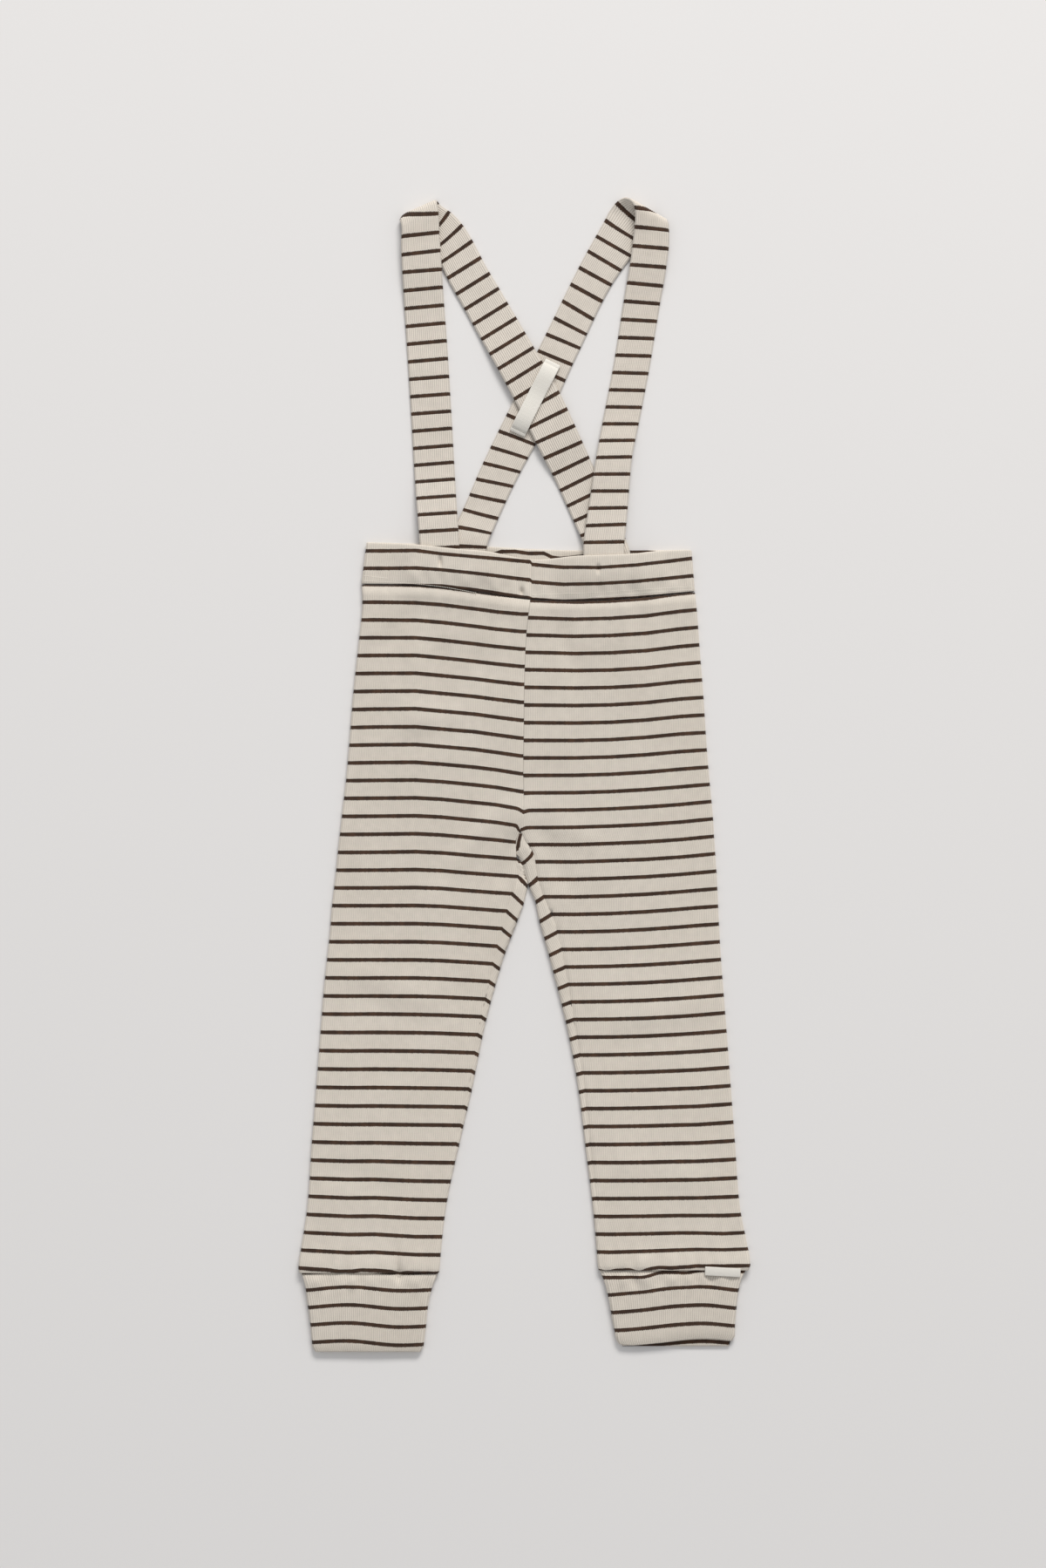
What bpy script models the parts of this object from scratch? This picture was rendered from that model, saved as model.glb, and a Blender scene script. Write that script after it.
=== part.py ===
"""Suspender leggings for a toddler of 18 to 24 months, laid flat on their back.

The frame has +X to the right and +Y towards the shoulder straps as seen from above, and +Z up. The cloth
rests on z = 0. Sizes below are millimetres, and MM turns them into metres where a mesh is made. Every
cloth piece is a lofted sheet, midway between its two faces, with a Solidify wall.
"""

import math
from collections import namedtuple

import bmesh
import bpy
from mathutils import Matrix, Vector

MM = 0.001

# Room between the waistband and the legs, and how near the two edges at an inseam are to be joined.
SEAM_GAP = 0.3
WELD = 0.02

# Cloth: one layer of rib knit, two layers sewn as a band, a woven tape and the tab.
SINGLE_CLOTH = 1.1
DOUBLE_CLOTH = 1.8
TAPE_CLOTH = 0.8
TAB_CLOTH = 0.6

# Room left between the back and the front where a tube lies flat.
LEG_HOLLOW = 1.0
BAND_HOLLOW = 0.8

# Steps round a leg, the band and a cuff. A leg's back has short steps beside the centre seam.
FRONT_STEPS = 8
BACK_STEPS = 6
FOLD_STEPS = 4
EDGE_STEPS = FOLD_STEPS + 1
EDGE_STEP = 1.5
BAND_STEPS = 22
BAND_ROWS = 4
CUFF_STEPS = 8

# The sign of x on each side.
LEFT, RIGHT = -1, 1

# The leg's front climbs to the height of the thicker band and cuff beside it.
WAIST_CLIMB = (85.0, 106.0)
ANKLE_CLIMB = (-298.0, -282.0)

# The front lies higher over the sewn strap ends: x where it starts, is full, is full still and ends.
STRAP_RISE = 3.9
STRAP_RISE_X = ((-84.0, -66.0, -22.0, -4.0), (14.0, 32.0, 71.0, 89.0))
STRAP_RISE_Y = (100.0, 124.0)

# Waistband: its front top edge, its back top edge and the seam to the legs.
Waist = namedtuple("Waist", "x top back_top seam")
WAIST = [
    Waist(-99.0, 141.5, 141.5, 115.6),
    Waist(-62.4, 139.4, 140.4, 114.5),
    Waist(-40.1, 137.0, 139.5, 112.4),
    Waist(-23.9, 135.7, 138.8, 110.0),
    Waist(4.0, 130.9, 137.2, 106.3),
    Waist(34.7, 133.0, 136.4, 105.6),
    Waist(45.3, 133.3, 136.4, 105.8),
    Waist(65.5, 134.1, 136.4, 107.1),
    Waist(84.3, 136.2, 136.6, 108.9),
    Waist(104.0, 136.7, 136.7, 111.0),
]
# x of the waistband's two folds, at its top edge and at its seam.
BAND_SIDE_TOP = (-96.0, 101.6)
BAND_SIDE_SEAM = (-98.9, 103.6)

# The centre seams: x of each leg's front edge and back edge, down to where the legs part.
Centre = namedtuple("Centre", "y front_left front_right back_left back_right")
CENTRE = [
    Centre(107.0, 3.5, 3.8, 0.3, 0.6),
    Centre(90.0, 1.5, 1.8, 0.2, 0.5),
    Centre(60.0, 0.0, 0.3, 0.0, 0.3),
    Centre(30.0, -0.4, -0.1, -0.2, 0.1),
    Centre(0.0, -0.8, -0.5, -0.5, -0.2),
    Centre(-19.0, -0.6, -0.3, -0.9, -0.6),
    Centre(-33.9, -2.8, -2.2, -2.9, -2.4),
    Centre(-36.0, -5.0, -1.5, -5.2, -2.4),
    Centre(-39.2, -5.2, -1.5, -5.4, -2.4),
    Centre(-50.9, -4.8, -1.5, -4.6, -2.4),
]

# Legs above the crotch: y at the centre seam, x of the outer fold, and how much of the waist's slope is left.
Seat = namedtuple("Seat", "y side slope")
LEFT_SEAT = [
    Seat(106.2, -98.7, 1.00),
    Seat(97.0, -98.3, 0.88),
    Seat(76.0, -100.4, 0.75),
    Seat(43.0, -103.9, 0.75),
    Seat(11.0, -106.5, 0.69),
    Seat(-13.0, -108.9, 0.50),
    Seat(-26.0, -110.8, 0.20),
    Seat(-33.9, -111.8, 0.0),
    Seat(-36.0, -112.1, 0.0),
    Seat(-39.2, -112.5, 0.0),
    Seat(-50.9, -113.7, 0.0),
]
RIGHT_SEAT = [
    Seat(106.2, 103.6, 1.00),
    Seat(97.0, 104.7, 0.90),
    Seat(76.0, 106.3, 0.87),
    Seat(43.0, 108.9, 0.87),
    Seat(11.0, 111.0, 0.80),
    Seat(-13.0, 113.2, 0.55),
    Seat(-26.0, 114.6, 0.20),
    Seat(-33.9, 115.1, 0.0),
]

# Legs below the crotch: x of the outer and inner folds, and how far the back rolls forward to the inseam.
Tube = namedtuple("Tube", "y side inner strip")
LEFT_TUBE = [
    Tube(-53.5, -113.9, -2.7, 2.3),
    Tube(-61.5, -114.7, 0.0, 4.0),
    Tube(-66.2, -115.3, 1.7, 7.3),
    Tube(-72.1, -116.0, 0.9, 8.3),
    Tube(-80.0, -116.9, -0.8, 9.2),
    Tube(-93.8, -117.9, -5.8, 8.2),
    Tube(-108.7, -119.5, -11.6, 6.3),
    Tube(-129.3, -121.7, -17.8, 4.4),
    Tube(-150.5, -123.4, -23.4, 3.5),
    Tube(-193.5, -126.7, -32.3, 2.4),
    Tube(-223.1, -129.1, -39.1, 2.3),
    Tube(-265.5, -132.2, -48.0, 2.3),
    Tube(-288.9, -135.8, -50.6, 2.6),
    Tube(-298.4, -137.3, -51.4, 2.8),
    Tube(-302.4, -136.9, -51.9, 2.8),
]
RIGHT_TUBE = [
    Tube(-36.0, 115.2, -3.7, 2.3),
    Tube(-39.2, 115.4, -4.1, 4.2),
    Tube(-47.7, 116.0, -3.3, 8.9),
    Tube(-54.1, 116.4, 0.1, 6.7),
    Tube(-61.0, 116.9, 1.5, 6.3),
    Tube(-67.3, 117.2, 2.9, 6.6),
    Tube(-76.3, 117.6, 6.5, 6.3),
    Tube(-87.5, 118.1, 8.7, 9.1),
    Tube(-108.7, 119.3, 14.6, 8.7),
    Tube(-128.8, 120.8, 19.9, 7.1),
    Tube(-148.9, 122.4, 24.9, 5.3),
    Tube(-191.3, 125.6, 32.9, 3.8),
    Tube(-223.1, 128.0, 36.8, 3.0),
    Tube(-267.1, 131.7, 42.1, 2.3),
    Tube(-288.9, 136.1, 43.9, 2.6),
    Tube(-298.0, 137.3, 44.7, 2.8),
    Tube(-300.8, 136.2, 45.1, 2.8),
]

# Cuffs: x of both folds, and how much higher the front lies than the back, as at the right hem.
Cuff = namedtuple("Cuff", "y left right front_lift")
LEFT_CUFF = [
    Cuff(-302.9, -135.2, -52.6, 0.0),
    Cuff(-310.0, -133.3, -55.4, 0.0),
    Cuff(-323.3, -131.3, -58.6, 0.0),
    Cuff(-334.5, -129.8, -59.6, 0.0),
    Cuff(-350.6, -128.4, -61.7, 0.0),
]
RIGHT_CUFF = [
    Cuff(-301.3, 45.9, 134.3, 0.0),
    Cuff(-306.5, 48.0, 131.9, 0.0),
    Cuff(-314.5, 50.3, 130.0, 0.0),
    Cuff(-330.0, 53.3, 128.3, 0.6),
    Cuff(-347.3, 56.2, 127.7, 2.5),
]

# Straps, from the front waist over the fold to the back waist: where each long edge lies, and its height.
Strap = namedtuple("Strap", "a_x a_y b_x b_y a_z b_z")
LEFT_STRAP = [
    Strap(-62.8, 124.8, -38.4, 124.8, 5.2, 5.2),
    Strap(-63.6, 140.5, -39.5, 140.5, 5.2, 5.2),
    Strap(-64.3, 151.0, -40.1, 151.0, 5.2, 5.2),
    Strap(-65.2, 161.0, -40.8, 161.0, 4.3, 4.3),
    Strap(-66.8, 183.0, -42.2, 183.0, 1.5, 1.5),
    Strap(-68.6, 215.0, -44.0, 215.0, 0.9, 0.9),
    Strap(-71.5, 262.0, -46.9, 262.0, 0.9, 0.9),
    Strap(-73.0, 285.0, -48.6, 285.0, 1.4, 1.4),
    Strap(-74.2, 306.0, -50.0, 306.0, 3.4, 3.4),
    Strap(-74.9, 322.0, -51.4, 327.0, 3.9, 3.9),
    Strap(-75.2, 335.6, -52.9, 345.8, 3.9, 3.9),
    Strap(-75.6, 336.6, -53.3, 346.8, 3.4, 3.4),
    Strap(-75.8, 337.0, -53.5, 347.2, 2.4, 2.4),
    Strap(-75.6, 336.6, -53.3, 346.8, 1.4, 1.4),
    Strap(-75.2, 335.6, -52.9, 345.8, 0.9, 0.9),
    Strap(-65.5, 329.4, -44.3, 341.6, 0.9, 0.9),
    Strap(-42.1, 292.8, -20.9, 305.0, 0.9, 0.9),
    Strap(-28.9, 269.2, -7.2, 282.0, 1.2, 1.2),
    Strap(-16.4, 246.8, 5.4, 260.4, 3.0, 3.0),
    Strap(-2.4, 220.5, 19.3, 236.4, 3.0, 3.0),
    Strap(10.0, 195.5, 33.0, 207.5, 3.0, 3.0),
    Strap(18.3, 179.7, 40.5, 190.8, 1.1, 1.1),
    Strap(26.8, 161.1, 49.0, 171.7, 0.9, 0.9),
    Strap(32.0, 149.5, 54.4, 159.5, 1.7, 1.2),
    Strap(36.0, 140.4, 58.8, 150.0, 3.0, 2.2),
    Strap(39.0, 132.0, 62.3, 141.5, 3.0, 3.0),
    Strap(43.7, 124.8, 67.0, 124.8, 3.0, 3.0),
]
RIGHT_STRAP = [
    Strap(36.3, 124.8, 61.2, 124.8, 5.2, 5.2),
    Strap(35.8, 139.4, 60.7, 138.3, 5.2, 5.2),
    Strap(37.4, 152.1, 62.0, 152.1, 4.8, 4.8),
    Strap(39.8, 168.0, 63.3, 168.0, 3.8, 3.8),
    Strap(43.5, 192.4, 65.5, 192.4, 3.4, 3.4),
    Strap(48.5, 219.4, 70.5, 217.8, 1.2, 1.2),
    Strap(53.8, 246.7, 75.7, 244.9, 0.9, 0.9),
    Strap(60.4, 288.3, 82.7, 287.3, 1.3, 1.3),
    Strap(64.2, 311.0, 86.5, 309.5, 3.4, 3.2),
    Strap(66.5, 330.0, 88.0, 325.5, 5.0, 3.8),
    Strap(67.2, 340.0, 87.8, 331.5, 6.4, 3.9),
    Strap(65.5, 346.5, 87.3, 335.4, 7.1, 3.5),
    Strap(61.0, 349.4, 86.4, 336.6, 6.4, 2.4),
    Strap(56.0, 348.0, 84.9, 335.4, 4.0, 1.3),
    Strap(51.5, 342.5, 82.0, 331.0, 1.7, 0.9),
    Strap(48.3, 336.0, 75.5, 326.0, 0.9, 0.9),
    Strap(37.9, 317.5, 58.9, 306.3, 0.9, 0.9),
    Strap(13.0, 267.7, 33.1, 257.1, 0.9, 0.9),
    Strap(-10.9, 218.9, 10.3, 207.2, 0.9, 0.9),
    Strap(-24.9, 190.0, -4.8, 179.1, 0.9, 0.9),
    Strap(-38.1, 159.5, -18.3, 150.0, 1.2, 1.7),
    Strap(-43.9, 147.0, -21.7, 142.2, 3.0, 3.0),
    Strap(-46.0, 137.3, -23.3, 135.2, 3.0, 3.0),
    Strap(-47.4, 124.8, -24.6, 124.8, 3.0, 3.0),
]
# Faces across a strap, and faces along it for each row of its table.
STRAP_STEPS = 3
STRAP_SMOOTHING = 2

# The tape lies on the right strap at its two ends and passes over the left strap between them.
TAPE_WIDTH = 10.0
Tape = namedtuple("Tape", "x y z")
TAPE = [
    Tape(18.6, 252.9, 2.5),
    Tape(16.5, 248.8, 4.8),
    Tape(7.4, 230.8, 4.8),
    Tape(-2.2, 211.6, 4.8),
    Tape(-4.3, 207.3, 2.5),
]

# The tab lies on the seam between the right leg and its cuff.
TAB_SIZE = (21.5, 5.4, TAB_CLOTH)
TAB_PLACE = (120.4, -301.7, 5.1)
TAB_TURN = math.radians(-3.0)
TAB_BEVEL = 0.2
TAB_BEVEL_STEPS = 2

KNIT_ROUGHNESS = 0.9
TAPE_ROUGHNESS = 0.8
OAT_RIB = (0.62, 0.57, 0.50, 1.0)
PALE_RIB = (0.68, 0.64, 0.58, 1.0)
TAPE_CREAM = (0.78, 0.75, 0.70, 1.0)


def mix(start, end, share):
    return start + (end - start) * share


def smooth(low, high, value):
    """0 below low, 1 above high, with a soft change between them."""
    share = min(max((value - low) / (high - low), 0.0), 1.0)
    return share * share * (3.0 - 2.0 * share)


def read(table, key, column, value):
    """The column's value at a place along the table, whose rows may run up or down."""
    rows = sorted(table, key=lambda row: getattr(row, key))
    for before, after in zip(rows, rows[1:]):
        start, end = getattr(before, key), getattr(after, key)
        if value <= end:
            share = min(max((value - start) / (end - start), 0.0), 1.0)
            return mix(getattr(before, column), getattr(after, column), share)
    return getattr(rows[-1], column)


def strap_rise(x, y):
    """How much higher the front lies over the sewn strap ends."""
    across = sum(smooth(a, b, x) - smooth(c, d, x) for a, b, c, d in STRAP_RISE_X)
    return STRAP_RISE * across * smooth(*STRAP_RISE_Y, y)


def front_height(cloth, hollow):
    """The height of the middle of a flat tube's front wall, over the back wall and the room between."""
    return cloth + hollow + cloth / 2.0


BAND_HEIGHT = front_height(DOUBLE_CLOTH, BAND_HOLLOW)


def leg_height(y):
    """The height of a leg's front at its folds."""
    climb = smooth(*WAIST_CLIMB, y) + 1.0 - smooth(*ANKLE_CLIMB, y)
    return mix(front_height(SINGLE_CLOTH, LEG_HOLLOW), BAND_HEIGHT, climb)


def fold_points(x, y_of, low, high, way, rising):
    """The inner points of a half-round fold that bulges towards way, from the top down or from the bottom up."""
    radius = (high - low) / 2.0
    points = []
    for step in range(1, FOLD_STEPS):
        angle = math.pi * step / FOLD_STEPS
        turn = -math.cos(angle) if rising else math.cos(angle)
        points.append((x + way * radius * math.sin(angle), y_of(x), low + radius + radius * turn))
    return points


def row_between(start, end, steps, y_of, z_of):
    """Points on a straight run across a tube, both ends included."""
    places = [mix(start, end, step / steps) for step in range(steps + 1)]
    return [(x, y_of(x), z_of(x)) for x in places]


def seat_section(row, out, front_column, back_column):
    """A leg above the crotch: front edge, front, outer fold, back and back edge."""
    low = SINGLE_CLOTH / 2.0
    front_edge = read(CENTRE, "y", front_column, row.y)
    back_edge = read(CENTRE, "y", back_column, row.y)
    centre_seam = read(WAIST, "x", "seam", front_edge)

    def y_of(x):
        return row.y + row.slope * (read(WAIST, "x", "seam", x) - centre_seam)

    high = leg_height(y_of(row.side))
    fold = row.side - out * (low + (high - low) / 2.0)
    last_of_back = back_edge + out * EDGE_STEPS * EDGE_STEP
    front = row_between(front_edge, fold, FRONT_STEPS, y_of, lambda x: high + strap_rise(x, y_of(x)))
    back = row_between(fold, last_of_back, BACK_STEPS, y_of, lambda x: low)
    edge = row_between(last_of_back, back_edge, EDGE_STEPS, y_of, lambda x: low)
    return front + fold_points(fold, y_of, low, high, out, False) + back + edge[1:]


def tube_section(row, out):
    """A leg below the crotch: inseam, front, outer fold, back, inner fold and the rolled strip to the inseam."""
    low = SINGLE_CLOTH / 2.0
    high = leg_height(row.y)
    inset = low + (high - low) / 2.0
    outer_fold = row.side - out * inset
    inner_fold = row.inner + out * inset
    inseam = row.inner + out * row.strip

    def y_of(_):
        return row.y

    front = row_between(inseam, outer_fold, FRONT_STEPS, y_of, lambda x: high)
    back = row_between(outer_fold, inner_fold, BACK_STEPS, y_of, lambda x: low)
    strip = [(inner_fold, row.y, high), (inseam, row.y, high)]
    return (
        front
        + fold_points(outer_fold, y_of, low, high, out, False)
        + back
        + fold_points(inner_fold, y_of, low, high, -out, True)
        + strip
    )


def sheet_mesh(name, sections, ring=False):
    """A sheet lofted through its sections. Points that lie on each other, as along an inseam, are welded."""
    work = bmesh.new()
    rows = [[work.verts.new(Vector(point) * MM) for point in section] for section in sections]
    for above, below in zip(rows, rows[1:]):
        pairs = list(zip(above, above[1:], below[1:], below))
        if ring:
            pairs.append((above[-1], above[0], below[0], below[-1]))
        for corners in pairs:
            work.faces.new(corners)
    bmesh.ops.remove_doubles(work, verts=work.verts, dist=WELD * MM)
    bmesh.ops.recalc_face_normals(work, faces=work.faces)
    mesh = bpy.data.meshes.new(name)
    work.to_mesh(mesh)
    work.free()
    return mesh


def cloth_piece(name, sections, cloth, material, ring=False):
    """A sheet with a wall, half on each side of it."""
    piece = bpy.data.objects.new(name, sheet_mesh(name, sections, ring))
    piece.data.materials.append(material)
    piece.data.shade_smooth()
    wall = piece.modifiers.new("Wall", "SOLIDIFY")
    wall.thickness = cloth * MM
    wall.offset = 0.0
    wall.use_even_offset = True
    bpy.data.collections["suspender_leggings"].objects.link(piece)
    return piece


def ring_section(left, right, front_y, back_y, rise, steps):
    """A band or cuff: front from left to right, right fold, back, left fold."""
    low = DOUBLE_CLOTH / 2.0
    inset = low + (BAND_HEIGHT - low) / 2.0
    start, end = left + inset, right - inset
    front = row_between(start, end, steps, front_y, lambda x: BAND_HEIGHT + rise(x, front_y(x)))
    back = row_between(end, start, steps, back_y, lambda x: low)
    return (
        front
        + fold_points(end, front_y, low, BAND_HEIGHT, RIGHT, False)
        + back
        + fold_points(start, front_y, low, BAND_HEIGHT, LEFT, True)
    )


def no_rise(x, y):
    return 0.0


def make_leg(name, seat, tube, out, material):
    side = "left" if out == LEFT else "right"
    sections = [seat_section(row, out, "front_" + side, "back_" + side) for row in seat]
    sections += [tube_section(row, out) for row in tube]
    cloth_piece(name, sections, SINGLE_CLOTH, material)


def make_waistband(material):
    sections = []
    for row in range(BAND_ROWS + 1):
        share = row / BAND_ROWS

        def front_y(x, share=share):
            return mix(read(WAIST, "x", "top", x), read(WAIST, "x", "seam", x) + SEAM_GAP, share)

        def back_y(x, share=share):
            return mix(read(WAIST, "x", "back_top", x), read(WAIST, "x", "seam", x) + SEAM_GAP, share)

        left = mix(BAND_SIDE_TOP[0], BAND_SIDE_SEAM[0], share)
        right = mix(BAND_SIDE_TOP[1], BAND_SIDE_SEAM[1], share)
        sections.append(ring_section(left, right, front_y, back_y, strap_rise, BAND_STEPS))
    cloth_piece("waistband", sections, DOUBLE_CLOTH, material, ring=True)


def make_cuff(name, table, material):
    sections = []
    for row in table:
        middle = (row.left + row.right) / 2.0
        half = (row.right - row.left) / 2.0

        def front_y(x, row=row, middle=middle, half=half):
            return row.y + row.front_lift * (1.0 - ((x - middle) / half) ** 2)

        def back_y(_, row=row):
            return row.y

        sections.append(ring_section(row.left, row.right, front_y, back_y, no_rise, CUFF_STEPS))
    cloth_piece(name, sections, DOUBLE_CLOTH, material, ring=True)


def smoothed(points, steps):
    """Points of a curve through the given ones, no lower than a strap that lies on the table."""
    lengths = [(end - start).length for start, end in zip(points, points[1:])]
    slopes = [(points[1] - points[0]) / lengths[0]]
    for index in range(1, len(points) - 1):
        before, after = lengths[index - 1], lengths[index]
        come = (points[index] - points[index - 1]) / before
        leave = (points[index + 1] - points[index]) / after
        slopes.append((come * after + leave * before) / (before + after))
    slopes.append((points[-1] - points[-2]) / lengths[-1])
    found = []
    for index, length in enumerate(lengths):
        start, end = points[index], points[index + 1]
        for step in range(steps):
            share = step / steps
            bend_in = slopes[index] * (length * share * (1.0 - share) ** 2)
            bend_out = slopes[index + 1] * (length * share**2 * (1.0 - share))
            found.append(start.lerp(end, smooth(0.0, 1.0, share)) + bend_in - bend_out)
    found.append(points[-1])
    for point in found:
        point.z = max(point.z, DOUBLE_CLOTH / 2.0)
    return found


def ribbon_sections(edge_a, edge_b, steps):
    return [[tuple(a.lerp(b, step / steps)) for step in range(steps + 1)] for a, b in zip(edge_a, edge_b)]


def make_strap(name, table, material):
    edge_a = smoothed([Vector((row.a_x, row.a_y, row.a_z)) for row in table], STRAP_SMOOTHING)
    edge_b = smoothed([Vector((row.b_x, row.b_y, row.b_z)) for row in table], STRAP_SMOOTHING)
    cloth_piece(name, ribbon_sections(edge_a, edge_b, STRAP_STEPS), DOUBLE_CLOTH, material)


def make_tape(material):
    run = Vector((TAPE[-1].x - TAPE[0].x, TAPE[-1].y - TAPE[0].y, 0.0)).normalized()
    across = Vector((-run.y, run.x, 0.0)) * (TAPE_WIDTH / 2.0)
    middle = [Vector((row.x, row.y, row.z)) for row in TAPE]
    edge_a = [point + across for point in middle]
    edge_b = [point - across for point in middle]
    cloth_piece("keeper_tape", ribbon_sections(edge_a, edge_b, 1), TAPE_CLOTH, material)


def make_tab(material):
    bpy.ops.mesh.primitive_cube_add(size=1.0)
    tab = bpy.context.object
    tab.name = tab.data.name = "label_tab"
    tab.data.transform(Matrix.Diagonal((*(Vector(TAB_SIZE) * MM), 1.0)))
    tab.location = Vector(TAB_PLACE) * MM
    tab.rotation_euler.z = TAB_TURN
    tab.data.materials.append(material)
    edge = tab.modifiers.new("Soft edge", "BEVEL")
    edge.width = TAB_BEVEL * MM
    edge.segments = TAB_BEVEL_STEPS
    for collection in tab.users_collection:
        collection.objects.unlink(tab)
    bpy.data.collections["suspender_leggings"].objects.link(tab)


def cloth_material(name, colour, roughness):
    material = bpy.data.materials.new(name)
    material.use_nodes = True
    shader = material.node_tree.nodes["Principled BSDF"]
    shader.inputs["Base Color"].default_value = colour
    shader.inputs["Roughness"].default_value = roughness
    shader.inputs["Metallic"].default_value = 0.0
    return material


def main():
    for old in list(bpy.data.objects):
        bpy.data.objects.remove(old, do_unlink=True)
    bpy.context.scene.collection.children.link(bpy.data.collections.new("suspender_leggings"))

    leg_rib = cloth_material("leg_rib", OAT_RIB, KNIT_ROUGHNESS)
    band_rib = cloth_material("band_rib", OAT_RIB, KNIT_ROUGHNESS)
    strap_rib = cloth_material("strap_rib", PALE_RIB, KNIT_ROUGHNESS)
    tape_weave = cloth_material("tape_weave", TAPE_CREAM, TAPE_ROUGHNESS)

    make_leg("leg_left", LEFT_SEAT, LEFT_TUBE, LEFT, leg_rib)
    make_leg("leg_right", RIGHT_SEAT, RIGHT_TUBE, RIGHT, leg_rib)
    make_waistband(band_rib)
    make_cuff("cuff_left", LEFT_CUFF, band_rib)
    make_cuff("cuff_right", RIGHT_CUFF, band_rib)
    make_strap("strap_left", LEFT_STRAP, strap_rib)
    make_strap("strap_right", RIGHT_STRAP, strap_rib)
    make_tape(tape_weave)
    make_tab(tape_weave)


main()
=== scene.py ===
"""Suspender leggings for a toddler, laid flat: their cloth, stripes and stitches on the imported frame.

+X is to the right and +Y towards the shoulder straps as seen from above, and +Z is up out of the front.
Lengths are millimetres unless a comment says metres, and MM turns them into metres where a mesh is made.
Left and right are as seen from above.
"""

import math

import bpy
import numpy as np
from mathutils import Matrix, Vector


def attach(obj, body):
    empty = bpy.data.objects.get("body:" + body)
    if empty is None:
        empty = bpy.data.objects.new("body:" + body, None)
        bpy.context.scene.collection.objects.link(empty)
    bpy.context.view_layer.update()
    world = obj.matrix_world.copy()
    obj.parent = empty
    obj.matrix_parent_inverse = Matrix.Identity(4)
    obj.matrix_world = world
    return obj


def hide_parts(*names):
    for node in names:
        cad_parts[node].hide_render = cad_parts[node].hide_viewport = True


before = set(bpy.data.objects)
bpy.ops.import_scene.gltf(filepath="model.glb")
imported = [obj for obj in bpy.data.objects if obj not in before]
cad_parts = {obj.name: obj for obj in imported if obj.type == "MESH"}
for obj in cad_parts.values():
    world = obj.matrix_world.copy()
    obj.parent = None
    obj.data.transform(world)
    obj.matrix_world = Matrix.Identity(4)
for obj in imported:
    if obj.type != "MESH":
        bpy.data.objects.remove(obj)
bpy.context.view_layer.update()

bl_info = {
    "name": "Suspender leggings",
    "version": (1, 0, 0),
    "blender": (4, 5, 0),
    "location": "3D View > Sidebar > Leggings",
    "description": "Builds laid-flat rib-knit leggings with crossed shoulder straps",
    "category": "Object",
}

MM = 0.001
LEFT, RIGHT = -1, 1

# Cloth thickness: one layer of rib knit, two layers sewn as a band, woven tape and the tab.
SINGLE_CLOTH = 1.1
DOUBLE_CLOTH = 1.8
TAPE_CLOTH = 0.8
TAB_CLOTH = 0.6
# Height of the middle of a flat tube's front wall: over the back wall and the room between.
LEG_HEIGHT = 2.65
BAND_HEIGHT = 3.5
# The leg's front climbs to the height of the thicker band and cuff beside it.
WAIST_CLIMB = (85.0, 106.0)
ANKLE_CLIMB = (-298.0, -282.0)
# The front lies higher over the sewn strap ends: x where it starts, is full, is full still and ends.
STRAP_RISE = 3.9
STRAP_RISE_X = ((-84.0, -66.0, -22.0, -4.0), (14.0, 32.0, 71.0, 89.0))
STRAP_RISE_Y = (100.0, 124.0)
# Room between the waistband and the legs at their seam.
SEAM_GAP = 0.3
# Each leg's cloth reaches this much further at the centre front, so that the seam looks closed.
SEAM_CLOSE = 0.1
# No cloth lies lower than this.
LOWEST = 0.02


def chart(*rows):
    """Measures in rows that have the same columns."""
    return np.array(rows, float)


# Waistband: x, its front top edge, its back top edge and the seam to the legs.
WAIST = chart(
    (-99.0, 141.5, 141.5, 115.6),
    (-62.4, 139.4, 140.4, 114.5),
    (-40.1, 137.0, 139.5, 112.4),
    (-23.9, 135.7, 138.8, 110.0),
    (4.0, 130.9, 137.2, 106.3),
    (34.7, 133.0, 136.4, 105.6),
    (45.3, 133.3, 136.4, 105.8),
    (65.5, 134.1, 136.4, 107.1),
    (84.3, 136.2, 136.6, 108.9),
    (104.0, 136.7, 136.7, 111.0),
)
TOP, BACK_TOP, SEAM = 1, 2, 3
# x of the waistband's two folds, at its top edge and at its seam.
BAND_SIDE_TOP = (-96.0, 101.6)
BAND_SIDE_SEAM = (-98.9, 103.6)

# The centre seams: y, then x of the left leg's front edge and back edge, and of the right leg's.
CENTRE = chart(
    (-50.9, -4.8, -4.6, -1.5, -2.4),
    (-39.2, -5.2, -5.4, -1.5, -2.4),
    (-36.0, -5.0, -5.2, -1.5, -2.4),
    (-33.9, -2.8, -2.9, -2.2, -2.4),
    (-19.0, -0.6, -0.9, -0.3, -0.6),
    (0.0, -0.8, -0.5, -0.5, -0.2),
    (30.0, -0.4, -0.2, -0.1, 0.1),
    (60.0, 0.0, 0.0, 0.3, 0.3),
    (90.0, 1.5, 0.2, 1.8, 0.5),
    (107.0, 3.5, 0.3, 3.8, 0.6),
)
# Legs above the crotch: y at the centre seam, x of the outer fold, and how much of the waist's slope the
# rows still have.
LEFT_SEAT = chart(
    (-50.9, -113.7, 0.0),
    (-39.2, -112.5, 0.0),
    (-33.9, -111.8, 0.0),
    (-26.0, -110.8, 0.2),
    (-13.0, -108.9, 0.5),
    (11.0, -106.5, 0.69),
    (43.0, -103.9, 0.75),
    (76.0, -100.4, 0.75),
    (97.0, -98.3, 0.88),
    (106.2, -98.7, 1.0),
)
RIGHT_SEAT = chart(
    (-33.9, 115.1, 0.0),
    (-26.0, 114.6, 0.2),
    (-13.0, 113.2, 0.55),
    (11.0, 111.0, 0.8),
    (43.0, 108.9, 0.87),
    (76.0, 106.3, 0.87),
    (97.0, 104.7, 0.9),
    (106.2, 103.6, 1.0),
)
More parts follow.
